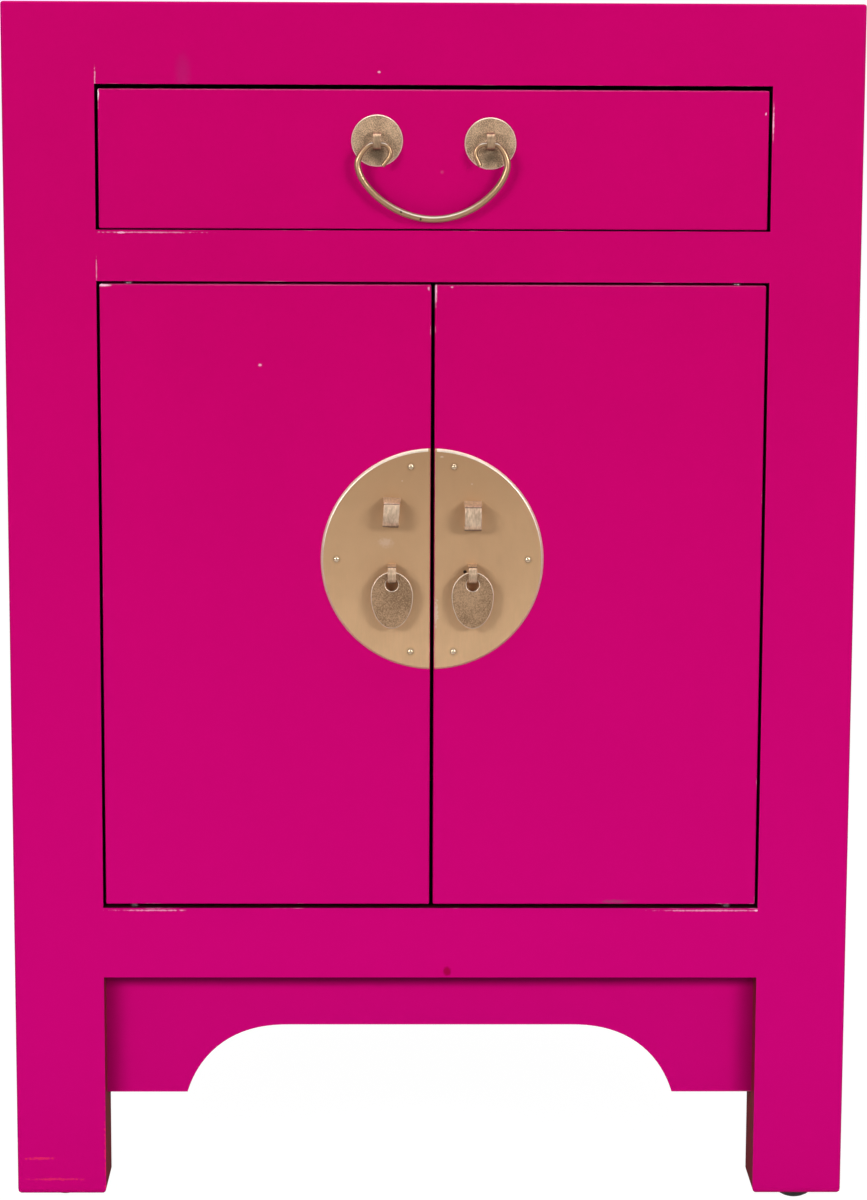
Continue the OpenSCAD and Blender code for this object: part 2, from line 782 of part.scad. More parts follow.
module rosette() {
    bevel = rosette_t / 3;
    color(brass) placed() difference() {
        translate([pull_x, 0, pull_eye_z - rosette_drop]) rotate([90, 0, 0]) {
            cylinder(d = rosette_d, h = rosette_t - bevel);
            translate([0, 0, rosette_t - bevel])
                cylinder(d1 = rosette_d, d2 = rosette_d - 2 * bevel, h = bevel);
        }
        pull_slots([-rosette_t - past, past]);
    }
}
module pull_eye() {
    color(brass) placed() translate([pull_x, pull_eye_y, pull_eye_z])
        strap_eye(pull_eye_d, pull_strap_w, pull_strap_t, drawer_front_t - pull_eye_y);
}

// The bail: a bow and two curled ends, swept along their centre lines, with a round pin in each
// eye between them. A point of a line holds x, z and the wire's diameter there
bow_steps = 20;
knee_steps = 8;
curl_steps = 10;
wire_sides = 16;
// The round pins stand a hair above the swept wire at their ends
pin_lip = 0.03;
function blend(a, b, t) = a + (b - a) * t;
function bezier(a, b, c, d, t) =
    pow(1 - t, 3) * a + 3 * t * pow(1 - t, 2) * b + 3 * t * t * (1 - t) * c + pow(t, 3) * d;
function half_bow() = let (
        foot = [0, -bow_drop],
        knee = [bow_half_w, -bow_waist],
        eye = [pull_x + wire_level, 0])
    concat(
        [for (i = [0 : bow_steps]) let (t = i / bow_steps,
            p = bezier(foot, foot + [foot_handle, 0], knee - [0, rise_handle], knee, t))
            [p[0], p[1], blend(wire_middle_d, wire_knee_d, t)]],
        [for (i = [1 : knee_steps]) let (t = i / knee_steps,
            p = bezier(knee, knee + [0, knee_handle], eye + [eye_handle, 0], eye, t))
            [p[0], p[1], blend(wire_knee_d, wire_eye_d - pin_lip, t)]]);
function curled_end() = let (
        d = wire_eye_d - pin_lip,
        centre = [pull_x - wire_level, -curl_r],
        last = centre + curl_r * [-cos(curl_end_a), sin(curl_end_a)])
    concat(
        [for (i = [0 : curl_steps]) let (a = blend(90, curl_end_a, i / curl_steps))
            [centre[0] - curl_r * cos(a), centre[1] + curl_r * sin(a), d]],
        [[last[0] - curl_tip * sin(curl_end_a), last[1] - curl_tip * cos(curl_end_a), d]]);

// A wire along a path that sets out level to the left and comes to its end along last_along
module swept_wire(path, last_along) {
    n = len(path);
    rings = [for (i = [0 : n - 1]) let (
            before = path[max(i - 1, 0)],
            after = path[min(i + 1, n - 1)],
            step = [after[0] - before[0], after[1] - before[1]],
            along = i == 0 ? [-1, 0] : i == n - 1 ? last_along : step / norm(step),
            r = path[i][2] / 2)
        for (k = [0 : wire_sides - 1]) let (a = 360 * k / wire_sides)
            [path[i][0] + r * cos(a) * along[1], r * sin(a), path[i][1] - r * cos(a) * along[0]]];
    polyhedron(points = rings, faces = concat(
        [[for (k = [0 : wire_sides - 1]) k]],
        [for (i = [0 : n - 2]) for (k = [0 : wire_sides - 1]) let (
            a = i * wire_sides + k, b = i * wire_sides + (k + 1) % wire_sides)
            [a, a + wire_sides, b + wire_sides, b]],
        [[for (k = [wire_sides - 1 : -1 : 0]) (n - 1) * wire_sides + k]]));
}
module drawer_bail() {
    bow = half_bow();
    other_bow = [for (i = [len(bow) - 1 : -1 : 1]) [-bow[i][0], bow[i][1], bow[i][2]]];
    color(brass) placed() translate([0, pull_eye_y, wire_z]) {
        swept_wire(concat(other_bow, bow), [-1, 0]);
        both() {
            swept_wire(curled_end(), [-sin(curl_end_a), -cos(curl_end_a)]);
            translate([pull_x - wire_level, 0, 0]) rotate([0, 90, 0])
                cylinder(d = wire_eye_d, h = 2 * wire_level);
        }
    }
}

// Doors
module nail_places() {
    for (a = [nail_a, 0, -nail_a])
        translate([nail_ring_r * cos(a), -plate_t, plate_z + nail_ring_r * sin(a)])
            rotate([-90, 0, 0]) children();
}
module fitting_slots(loop_rise, y) {
    eye_r = tag_eye_d / 2 + tag_strap_t;
    translate([fitting_x, 0, 0]) {
        arm_slots(loop_w, loop_strap_t, loop_z + [loop_rise, loop_rise], y);
        arm_slots(tag_strap_w, tag_strap_t, [tag_eye_z - eye_r, tag_eye_z + eye_r], y);
    }
}
module door(loop_rise) {
    color(lacquer) placed() difference() {
        rounded_board(door_x, [0, door_t], door_z, edge_round);
        pivot_hole([upper_pin_z[0] - glue_gap, door_z[1] + past]);
        pivot_hole([door_z[0] - past, lower_pin_z[1] + glue_gap]);
        nail_places() cylinder(d = nail_d + 2 * pivot_gap, h = nail_l + glue_gap);
        fitting_slots(loop_rise, [-past, door_t + past]);
        translate([magnet_x, door_t - strike_t - glue_gap, magnet_z]) rotate([-90, 0, 0])
            cylinder(d = strike_d + 2 * glue_gap, h = strike_t + past);
    }
}
module door_pivots() {
    color(steel) placed() for (z = [upper_pin_z, lower_pin_z])
        translate([pivot_x, pivot_depth, z[0]]) cylinder(d = pivot_d, h = z[1] - z[0]);
}
module strike() {
    color(steel) placed() translate([magnet_x, door_t - strike_t, magnet_z])
        rotate([-90, 0, 0]) cylinder(d = strike_d, h = strike_t);
}
module moon_plate(loop_rise) {
    edge_x = door_x[0] + plate_step;
    color(brass) placed() difference() {
        intersection() {
            translate([0, 0, plate_z]) rotate([90, 0, 0]) {
                cylinder(d = plate_d, h = plate_t - plate_bevel);
                translate([0, 0, plate_t - plate_bevel])
                    cylinder(d1 = plate_d, d2 = plate_d - 2 * plate_bevel, h = plate_bevel);
            }
            span([edge_x, plate_d], [-plate_d, plate_d], grow([plate_z, plate_z], plate_d));
        }
        nail_places() translate([0, 0, -past])
            cylinder(d = nail_d + 2 * pivot_gap, h = plate_t + 2 * past);
        fitting_slots(loop_rise, [-plate_t - past, past]);
    }
}
module plate_nails() {
    head_r = nail_head_d / 2;
    dome_r = (pow(head_r, 2) + pow(nail_head_h, 2)) / (2 * nail_head_h);
    color(brass) placed() nail_places() {
        intersection() {
            translate([0, 0, dome_r - nail_head_h]) sphere(r = dome_r);
            translate([0, 0, -nail_head_h]) cylinder(d = nail_head_d + bite, h = nail_head_h);
        }
        translate([0, 0, -nail_head_h / 2]) cylinder(d = nail_d, h = nail_l + nail_head_h / 2);
    }
}

// A lock loop: a strap that comes out of the door, folds down in front of the plate and goes back.
// Its centre line is drawn in y and z, and the strap is half its thickness to each side of that line
loop_bend_steps = 6;
function loop_line() = let (
        half = loop_strap_t / 2,
        back = door_t + half,
        top = loop_z[1] - half,
        bottom = loop_z[0] + half,
        front = -(plate_t + loop_reach - half))
    concat(
        [[back, top + clench_l], [back, top], [-plate_t, top], [front + half, top - loop_fall],
         [front, top - loop_fall - loop_strap_t]],
        [for (i = [0 : loop_bend_steps]) let (a = 180 + 90 * i / loop_bend_steps)
            [front + loop_bend_r + loop_bend_r * cos(a), bottom + loop_bend_r + loop_bend_r * sin(a)]],
        [[back, bottom], [back, bottom - clench_l]]);
function unit(v) = v / norm(v);
function square_to(v) = [-v[1], v[0]];
// The line moved sideways by s, mitred at its bends
function moved_line(line, s) = [for (i = [0 : len(line) - 1]) let (
        before = unit(line[max(i, 1)] - line[max(i, 1) - 1]),
        after = unit(line[min(i + 1, len(line) - 1)] - line[min(i, len(line) - 2)]),
        mitre = unit(square_to(before) + square_to(after)))
    line[i] + mitre * s / (mitre * square_to(before))];
module lock_loop(loop_rise) {
    line = loop_line();
    half = loop_strap_t / 2;
    color(brass) placed() translate([fitting_x, 0, loop_rise]) along_x([-loop_w / 2, loop_w / 2])
        polygon(concat(moved_line(line, half), reversed(moved_line(line, -half))));
}
module tag_eye() {
    color(brass) placed() translate([fitting_x, tag_eye_y, tag_eye_z])
        strap_eye(tag_eye_d, tag_strap_w, tag_strap_t, door_t - tag_eye_y);
}

// An oval tag, fuller above than below, that hangs on its eye
tag_steps = 48;
module tag_pull() {
    upper = tag_h * tag_belly;
    lower = tag_h - upper;
    belly_z = tag_rise - upper;
    color(brass) placed() translate([fitting_x, tag_eye_y, tag_eye_z]) difference() {
        along_y([-tag_t / 2, tag_t / 2]) polygon([for (i = [0 : tag_steps - 1])
            let (a = 360 * i / tag_steps)
            [tag_w / 2 * cos(a), belly_z + (sin(a) > 0 ? upper : lower) * sin(a)]]);
        translate([0, -tag_t, -tag_hole_drop]) rotate([-90, 0, 0])
            cylinder(d = tag_hole_d, h = 2 * tag_t);
    }
}

left() front_post(left_glide_y);  // post_front_left
right() front_post(right_glide_y);  // post_front_right
left() back_post();  // post_back_left
right() back_post();  // post_back_right
top_board();
top_rail_front();
top_rail_back();
middle_rail();
bottom_rail_front();
bottom_rail_back();
left() side_rail_top();  // side_rail_top_left
right() side_rail_top();  // side_rail_top_right
left() side_rail_bottom();  // side_rail_bottom_left
right() side_rail_bottom();  // side_rail_bottom_right
left() side_panel();  // side_panel_left
right() side_panel();  // side_panel_right
apron_front();
left() apron_side();  // apron_left
right() apron_side();  // apron_right
back_panel();
cupboard_floor();
left() drawer_runner();  // drawer_runner_left
right() drawer_runner();  // drawer_runner_right
left() drawer_guide();  // drawer_guide_left
right() drawer_guide();  // drawer_guide_right
left() drawer_kicker();  // drawer_kicker_left
right() drawer_kicker();  // drawer_kicker_right
door_stop();
door_magnets();
foot_glides();
drawer_front();
left() drawer_side();  // drawer_side_left
right() drawer_side();  // drawer_side_right
drawer_back();
drawer_bottom();
left() rosette();  // pull_rosette_left
right() rosette();  // pull_rosette_right
left() pull_eye();  // pull_eye_left
right() pull_eye();  // pull_eye_right
drawer_bail();
left() door(loop_step / 2);  // door_left
right() door(-loop_step / 2);  // door_right
left() door_pivots();  // door_pivots_left
right() door_pivots();  // door_pivots_right
left() moon_plate(loop_step / 2);  // moon_plate_left
right() moon_plate(-loop_step / 2);  // moon_plate_right
left() plate_nails();  // plate_nails_left
right() plate_nails();  // plate_nails_right
left() lock_loop(loop_step / 2);  // lock_loop_left
right() lock_loop(-loop_step / 2);  // lock_loop_right
left() tag_eye();  // tag_eye_left
right() tag_eye();  // tag_eye_right
left() strike();  // strike_left
right() strike();  // strike_right
left() tag_pull();  // tag_pull_left
right() tag_pull();  // tag_pull_right
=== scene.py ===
# %% [markdown]
# # A Chinese bedside cabinet in magenta lacquer
# The cabinet is a frame of posts and rails sprayed with satin lacquer, with a drawer above two
# pivoted doors and pale brass fittings. The measured parts come in ready as a fixed frame, and
# this lesson dresses them: finer fittings, softened lacquered boards, finishes, light and camera.

# %% Load the measured parts
import json
import math
import bmesh
import bpy
from mathutils import Matrix, Vector


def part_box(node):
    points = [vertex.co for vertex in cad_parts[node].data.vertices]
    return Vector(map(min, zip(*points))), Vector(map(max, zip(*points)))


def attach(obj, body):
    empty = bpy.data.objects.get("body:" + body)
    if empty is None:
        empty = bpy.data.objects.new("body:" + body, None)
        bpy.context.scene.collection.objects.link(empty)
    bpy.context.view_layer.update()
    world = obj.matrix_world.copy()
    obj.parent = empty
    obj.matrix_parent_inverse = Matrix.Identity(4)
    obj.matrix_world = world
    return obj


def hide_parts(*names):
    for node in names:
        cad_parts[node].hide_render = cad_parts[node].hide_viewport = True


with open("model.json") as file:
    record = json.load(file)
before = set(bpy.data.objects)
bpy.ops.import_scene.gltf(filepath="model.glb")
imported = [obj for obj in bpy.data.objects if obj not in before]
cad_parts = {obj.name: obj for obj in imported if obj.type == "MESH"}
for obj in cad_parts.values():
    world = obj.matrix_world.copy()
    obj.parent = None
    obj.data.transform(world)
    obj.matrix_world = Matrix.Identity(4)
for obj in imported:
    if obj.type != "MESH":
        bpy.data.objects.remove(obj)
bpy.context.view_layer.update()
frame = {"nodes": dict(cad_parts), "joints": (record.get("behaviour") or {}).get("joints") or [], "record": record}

nodes = frame["nodes"]
body_of_node = {n: b for b, names in frame["record"]["behaviour"]["bodies"].items() for n in names}
slot_of_node = {part["node"]: part["material_slot"] for part in frame["record"]["subparts"]}
MM = 0.001

# %% [markdown]
# ## Working by hand in code
# Every piece below is made as it would be at the desk: a primitive goes in, then edit mode
# shapes it. An operator acts on all that is selected, so each step clears the selection first
# and picks its faces by where they lie. These small helpers say that once.

# %% Helpers for picking and finishing
def clear():
    """Leaves edit mode and selects nothing."""
    if bpy.context.object and bpy.context.object.mode != "OBJECT":
        bpy.ops.object.mode_set(mode="OBJECT")
    bpy.ops.object.select_all(action="DESELECT")


def activate(obj):
    clear()
    obj.select_set(True)
    bpy.context.view_layer.objects.active = obj


def pick_faces(obj, wanted):
    """In edit mode, selects the faces whose middle and normal satisfy wanted."""
    mesh = bmesh.from_edit_mesh(obj.data)
    bpy.ops.mesh.select_mode(type="FACE")
    for face in mesh.faces:
        face.select_set(bool(wanted(face.calc_center_median(), face.normal)))
    bmesh.update_edit_mesh(obj.data)


def pick_edges(obj, wanted):
    """In edit mode, selects the edges whose two ends satisfy wanted."""
    mesh = bmesh.from_edit_mesh(obj.data)
    bpy.ops.mesh.select_mode(type="EDGE")
    for edge in mesh.edges:
        edge.select_set(bool(wanted(edge.verts[0].co, edge.verts[1].co)))
    bmesh.update_edit_mesh(obj.data)


def pick_points(obj, wanted):
    """In edit mode, selects the points whose place satisfies wanted."""
    mesh = bmesh.from_edit_mesh(obj.data)
    bpy.ops.mesh.select_mode(type="VERT")
    for point in mesh.verts:
        point.select_set(bool(wanted(point.co)))
    mesh.select_flush_mode()
    bmesh.update_edit_mesh(obj.data)


def rounded(obj, width, segments=3, angle=40):
    """A bevel on the sharp edges of a piece, applied."""
    activate(obj)
    mod = obj.modifiers.new("rounding", "BEVEL")
    mod.width, mod.segments, mod.limit_method = width, segments, "ANGLE"
    mod.angle_limit = math.radians(angle)
    bpy.ops.object.modifier_apply(modifier=mod.name)


def even_shading(obj):
    """Keeps flat faces flat beside their rounded corners."""
    even = obj.modifiers.new("even shading", "WEIGHTED_NORMAL")
    even.keep_sharp = True
    bpy.ops.object.modifier_apply(modifier=even.name)


def settle(obj, node, name, smooth=35):
    """Names a finished piece, smooths it, and lets it stand for a measured part on its body."""
    activate(obj)
    bpy.ops.object.transform_apply(location=True, rotation=True, scale=True)
    bpy.ops.object.mode_set(mode="EDIT")
    bpy.ops.mesh.select_all(action="SELECT")
    bpy.ops.mesh.normals_make_consistent(inside=False)
    bpy.ops.object.mode_set(mode="OBJECT")
    bpy.ops.object.shade_smooth_by_angle(angle=math.radians(smooth))
    even_shading(obj)
    obj.name = obj.data.name = name
    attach(obj, body_of_node[node])
    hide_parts(node)
    print(name, "has", len(obj.data.polygons), "faces and rides on", body_of_node[node])
    return obj


# %% [markdown]
# ## Camera
# The photograph was taken almost square to the front with a long lens, a little above the top
# of the doors and looking slightly down, so the top board shows no depth. The lens, place and
# three small turns were worked out from the corners of the drawer, the doors and the legs.

# %% Camera
PHOTO_TALL, FOCAL, SENSOR = 1200, 3462, 36  # pixels, pixels and millimetres
camera_place = Vector((-0.0236, -1.86825, 0.5794))
camera_data = bpy.data.cameras.new("camera")
camera_data.sensor_width = SENSOR
camera_data.lens = FOCAL / PHOTO_TALL * SENSOR
camera_data.clip_start, camera_data.clip_end = 0.05, 50
camera = bpy.data.objects.new("camera", camera_data)
bpy.context.scene.collection.objects.link(camera)
pitch, yaw, roll = math.radians(8.93), math.radians(0.82), math.radians(-0.224)
ahead_level = Vector((math.sin(yaw), math.cos(yaw), 0))
side = Vector((math.cos(yaw), -math.sin(yaw), 0))
ahead = math.cos(pitch) * ahead_level - Vector((0, 0, math.sin(pitch)))
over = math.sin(pitch) * ahead_level + Vector((0, 0, math.cos(pitch)))
right = math.cos(roll) * side - math.sin(roll) * over
up = math.sin(roll) * side + math.cos(roll) * over
camera.matrix_world = Matrix((
    (right.x, up.x, -ahead.x, camera_place.x),
    (right.y, up.y, -ahead.y, camera_place.y),
    (right.z, up.z, -ahead.z, camera_place.z),
    (0, 0, 0, 1)))
bpy.context.scene.camera = camera
print("camera lens", round(camera_data.lens, 2), "mm")

# %% [markdown]
# ## Building finishes from nodes
# A finish is a small net of nodes, and the same few kinds turn up in each. Every helper here
# adds one and hands back its output, so that a finish reads as a list of what is done to it.

# %% Helpers for finishes
def new_finish(name):
    """A new material, with its node tree and its shader."""
    material = bpy.data.materials.new(name)
    material.use_nodes = True
    return material, material.node_tree, material.node_tree.nodes["Principled BSDF"]


def add(tree, kind, values=None, **settings):
    """Adds a node; a value that is a socket is linked to the input."""
    made = tree.nodes.new(kind)
    for key, value in settings.items():
        setattr(made, key, value)
    for key, value in (values or {}).items():
        if isinstance(value, bpy.types.NodeSocket):
            tree.links.new(value, made.inputs[key])
        else:
            made.inputs[key].default_value = value
    return made


def math_node(tree, operation, a, b=0.0, c=0.0, clamp=False):
    made = add(tree, "ShaderNodeMath", {0: a, 1: b, 2: c}, operation=operation)
    made.use_clamp = clamp
    return made.outputs[0]


def vector_node(tree, operation, a, b=(0, 0, 0), output="Vector"):
    return add(tree, "ShaderNodeVectorMath", {0: a, 1: b}, operation=operation).outputs[output]


def object_place(tree):
    return add(tree, "ShaderNodeTexCoord").outputs["Object"]


def share_of(tree, vector, letter):
    """The X, Y or Z of a vector socket."""
    return add(tree, "ShaderNodeSeparateXYZ", {0: vector}).outputs[letter]


def slope(tree, value, start, end, low=0.0, high=1.0):
    """Goes from low to high while value goes from start to end."""
    return add(tree, "ShaderNodeMapRange", {0: value, 1: start, 2: end, 3: low, 4: high}).outputs[0]


def noise(tree, place, scale, detail, rough=0.5, distortion=0.0):
    return add(tree, "ShaderNodeTexNoise", {
        "Vector": place, "Scale": scale, "Detail": detail, "Roughness": rough,
        "Distortion": distortion}).outputs[0]


def set_bump(tree, shader, height, strength, distance):
    bump = add(tree, "ShaderNodeBump", {"Strength": strength, "Distance": distance, "Height": height})
    tree.links.new(bump.outputs[0], shader.inputs["Normal"])


# %% [markdown]
# ## Studio
# The floor is plain and almost white. A soft lamp stands on either side in front, a little
# above the cabinet, which gives each fitting a faint shadow to the left and to the right. A
# wide lamp hangs overhead and lights the upper rims of the brass, and a weak one near the floor
# does what light thrown back by a pale floor would do. What the brass mirrors is dimmer than
# what the camera sees: the floor fades to dark where the camera stands, and so does the room
# below the ceiling. That keeps the brass brown and the lacquer deep.

# %% Floor and backdrop
clear()
bpy.ops.mesh.primitive_circle_add(vertices=96, radius=6, fill_type="NGON", location=(0, 0, 0))
floor = bpy.context.active_object
floor.name = "floor"
floor_paint, tree, shader = new_finish("pale floor")
shader.inputs["Base Color"].default_value = (0.8, 0.8, 0.8, 1)
shader.inputs["Roughness"].default_value = 0.9
path = add(tree, "ShaderNodeLightPath")
bright = add(tree, "ShaderNodeEmission", {"Color": (1, 1, 1, 1), "Strength": 1.1})
near = slope(tree, share_of(tree, object_place(tree), "Y"), -2.3, -1.8, 0.02, 0.30)
dim = add(tree, "ShaderNodeEmission", {"Color": (1.0, 0.97, 0.93, 1), "Strength": near})
seen = math_node(tree, "MULTIPLY", path.outputs["Is Camera Ray"], 0.9)
both_ways = add(tree, "ShaderNodeMixShader", {0: seen, 1: shader.outputs[0], 2: bright.outputs[0]})
mirrored = math_node(tree, "MULTIPLY", path.outputs["Is Glossy Ray"], 0.85)
all_ways = add(tree, "ShaderNodeMixShader", {0: mirrored, 1: both_ways.outputs[0], 2: dim.outputs[0]})
tree.links.new(all_ways.outputs[0], tree.nodes["Material Output"].inputs["Surface"])
floor.data.materials.append(floor_paint)

world = bpy.data.worlds.new("studio")
bpy.context.scene.world = world
world.use_nodes = True
tree = world.node_tree
height = share_of(tree, add(tree, "ShaderNodeTexCoord").outputs["Generated"], "Z")
ramp = add(tree, "ShaderNodeValToRGB", {0: height})
for stop, place, grey in zip(ramp.color_ramp.elements, (0.05, 0.9), (0.05, 0.18)):
    stop.position, stop.color = place, (grey, grey, grey, 1)
lit = add(tree, "ShaderNodeBackground", {"Color": ramp.outputs[0], "Strength": 1.0})
white = add(tree, "ShaderNodeBackground", {"Color": (1, 1, 1, 1), "Strength": 1.0})
path = add(tree, "ShaderNodeLightPath")
choice = add(tree, "ShaderNodeMixShader", {
    0: path.outputs["Is Camera Ray"], 1: lit.outputs[0], 2: white.outputs[0]})
tree.links.new(choice.outputs[0], tree.nodes["World Output"].inputs["Surface"])
bpy.context.scene.view_settings.view_transform = "Standard"

# %% Lamps
def lamp(name, place, target, width, height, power):
    data = bpy.data.lights.new(name, "AREA")
    data.shape, data.size, data.size_y, data.energy = "RECTANGLE", width, height, power
    obj = bpy.data.objects.new(name, data)
    obj.location = place
    obj.rotation_euler = (Vector(target) - Vector(place)).to_track_quat("-Z", "Y").to_euler()
    bpy.context.scene.collection.objects.link(obj)
    return obj


lamp("left lamp", (-1.1, -1.65, 0.9), (0, 0, 0.3), 0.6, 0.4, 14)
lamp("right lamp", (1.1, -1.65, 0.9), (0, 0, 0.3), 0.6, 0.4, 14)
lamp("ceiling", (0, -0.2, 1.9), (0, -0.2, 0.3), 2.2, 0.7, 22)
glow = lamp("floor glow", (0, -1.2, 0.1), (0, -0.17, 0.2), 2.0, 0.2, 1.5)
glow.visible_glossy = False
print("four soft lamps")

# %% [markdown]
# ## Effects that several finishes share
# Lacquer is rubbed through along every edge, chips and stains sit at single places, and brass
# has a fine directional scratch. Each effect is a node group that is built once and gives out
# only a mask or a height, and each finish sets its own values. All of them read Object
# coordinates, which here are the metres of the cabinet itself.

# %% Shared node groups
def new_group(name, inputs, outputs):
    group = bpy.data.node_groups.new(name, "ShaderNodeTree")
    for kind, items in (("INPUT", inputs), ("OUTPUT", outputs)):
        for label, socket_type, start in items:
            made = group.interface.new_socket(label, in_out=kind, socket_type=socket_type)
            if start is not None:
                made.default_value = start
    return group, group.nodes.new("NodeGroupInput"), group.nodes.new("NodeGroupOutput")


FLOAT, VECTOR = "NodeSocketFloat", "NodeSocketVector"

group, given, result = new_group("Board edge", [
    ("Low", VECTOR, None), ("High", VECTOR, None), ("Width", FLOAT, 0.0006),
    ("Patches", FLOAT, 30.0), ("Amount", FLOAT, 0.5)], [("Mask", FLOAT, None)])
place = object_place(group)
from_low = vector_node(group, "SUBTRACT", place, given.outputs["Low"])
from_high = vector_node(group, "SUBTRACT", given.outputs["High"], place)
nearest = vector_node(group, "MINIMUM", from_low, from_high)
x, y, z = add(group, "ShaderNodeSeparateXYZ", {0: nearest}).outputs
low_pair = math_node(group, "MINIMUM", x, y)
high_pair = math_node(group, "MAXIMUM", x, y)
to_edge = math_node(group, "MAXIMUM", low_pair, math_node(group, "MINIMUM", high_pair, z))
coarse = noise(group, place, given.outputs["Patches"], 4.0, 0.65)
more = math_node(group, "SUBTRACT", given.outputs["Amount"], 0.5)
patch = slope(group, math_node(group, "ADD", coarse, more), 0.42, 0.62)
broad = math_node(group, "MULTIPLY_ADD", patch, 1.6, 0.15)
ragged = math_node(group, "MULTIPLY_ADD", noise(group, place, 900.0, 2.0), 1.2, 0.4)
reach = math_node(group, "MULTIPLY", math_node(group, "MULTIPLY", given.outputs["Width"], broad), ragged)
inside = math_node(group, "DIVIDE", to_edge, math_node(group, "ADD", reach, 0.00002))
worn = slope(group, inside, 1.25, 0.75)
group.links.new(math_node(group, "MULTIPLY", worn, patch), result.inputs["Mask"])
board_edge = group

group, given, result = new_group("Spot", [
    ("Centre", VECTOR, None), ("Size", VECTOR, None), ("Ragged", FLOAT, 0.3),
    ("Soft", FLOAT, 0.2)], [("Mask", FLOAT, None)])
place = object_place(group)
away = vector_node(group, "SUBTRACT", place, given.outputs["Centre"])
far = vector_node(group, "LENGTH", vector_node(group, "DIVIDE", away, given.outputs["Size"]), output="Value")
crumb = math_node(group, "SUBTRACT", noise(group, place, 700.0, 3.0), 0.5)
bumpy = math_node(group, "MULTIPLY", crumb, given.outputs["Ragged"])
total = math_node(group, "MULTIPLY_ADD", bumpy, 3.0, far)
lower = math_node(group, "SUBTRACT", 1.0, given.outputs["Soft"])
upper = math_node(group, "ADD", 1.0, given.outputs["Soft"])
spot = add(group, "ShaderNodeMapRange", {0: total, 1: upper, 2: lower, 3: 0.0, 4: 1.0},
           interpolation_type="SMOOTHSTEP")
group.links.new(spot.outputs[0], result.inputs["Mask"])
spot_group = group

group, given, result = new_group("Fine scratches", [
    ("Stretch", VECTOR, (1, 1, 1)), ("Scale", FLOAT, 900.0)], [
    ("Height", FLOAT, None), ("Cloud", FLOAT, None)])
place = object_place(group)
drawn = vector_node(group, "MULTIPLY", place, given.outputs["Stretch"])
group.links.new(noise(group, drawn, given.outputs["Scale"], 3.0, 0.6), result.inputs["Height"])
group.links.new(noise(group, place, 60.0, 5.0, 0.6), result.inputs["Cloud"])
scratches = group
print("three shared effects")


def use(tree, group, values):
    """Places a shared group in a material with its own values."""
    made = tree.nodes.new("ShaderNodeGroup")
    made.node_tree = group
    for key, value in values.items():
        made.inputs[key].default_value = value
    return made


def mix(tree, factor, a, b):
    """Mixes two colours or colour sockets."""
    made = add(tree, "ShaderNodeMix", data_type="RGBA")
    for index, value in ((0, factor), (6, a), (7, b)):
        if isinstance(value, bpy.types.NodeSocket):
            tree.links.new(value, made.inputs[index])
        else:
            made.inputs[index].default_value = value
    return made.outputs[2]


def spotted(tree, colour, spots):
    """Lays the paint of each spot over a colour. A paint's last number is its strength."""
    for centre, size, soft, ragged, paint in spots:
        spot = use(tree, spot_group, {"Centre": centre, "Size": size, "Soft": soft, "Ragged": ragged})
        strength = math_node(tree, "MULTIPLY", spot.outputs[0], paint[3])
        colour = mix(tree, strength, colour, (*paint[:3], 1))
    return colour


# %% [markdown]
# ## Lacquer
# The finish is a deep magenta, sprayed thick and rubbed to satin, so it is nearly even, with a
# faint clouding and a fine skin. Low on the cabinet it is painted a little brighter and bluer,
# as painted light thrown back by the floor. Along the corners the rubbing has gone through to
# the pale primer in broken lines. A board's corners are found from its own box, so each board
# gets a copy of the material with its two corners set. Chips and stains, painted highlights and
# painted shade are spots that are laid over the colour, as the list of marks gives them.

# %% Lacquer
MAGENTA = (0.540, 0.0004, 0.131, 1)
DEEP_MAGENTA = (0.490, 0.0004, 0.118, 1)
# the colour low on the cabinet: the lacquer with painted light thrown back by the floor
LOW_MAGENTA_FLOOR_LIGHT = (0.550, 0.0004, 0.168, 1)
PRIMER = (0.92, 0.40, 0.60, 1)
DARK_STAIN = (0.012, 0.006, 0.007, 1)


def lacquer(node, low, high, width, amount):
    """Lacquer for a board between two corners, rubbed through over a width at its edges."""
    material, tree, shader = new_finish("lacquer on " + node)
    place = object_place(tree)
    cloud, skin = noise(tree, place, 9.0, 6.0, 0.6), noise(tree, place, 260.0, 4.0, 0.55)
    tone = math_node(tree, "MULTIPLY_ADD", noise(tree, place, 420.0, 3.0), 0.35, cloud, clamp=True)
    contrast = math_node(tree, "MULTIPLY_ADD", tone, 1.4, -0.45, clamp=True)
    colour = mix(tree, contrast, DEEP_MAGENTA, MAGENTA)
    # painted light: brighter and bluer towards the bottom, for the light that the floor throws back
    colour = mix(tree, slope(tree, share_of(tree, place, "Z"), 0.45, 0.08), colour, LOW_MAGENTA_FLOOR_LIGHT)
    edge = use(tree, board_edge, {"Low": low, "High": high, "Width": width, "Amount": amount}).outputs[0]
    colour = spotted(tree, mix(tree, edge, colour, PRIMER), MARKS.get(node, ()))
    tree.links.new(colour, shader.inputs["Base Color"])
    rough = math_node(tree, "MULTIPLY_ADD", edge, 0.25, math_node(tree, "MULTIPLY_ADD", skin, 0.14, 0.36))
    tree.links.new(rough, shader.inputs["Roughness"])
    wavy = math_node(tree, "MULTIPLY_ADD", cloud, 2.0, skin)
    set_bump(tree, shader, math_node(tree, "MULTIPLY_ADD", edge, -0.8, wavy), 0.25, 0.0002)
    shader.inputs["Specular IOR Level"].default_value = 0.02
    return material


# %% [markdown]
# ## Wood and small parts
# Inside, and on the faces that look into a gap, the lacquer was never sprayed, and the wood has
# a near black stain with a veil of magenta at its front edge. The drawer box is plain pale
# wood. Its grain is noise drawn out along the board.

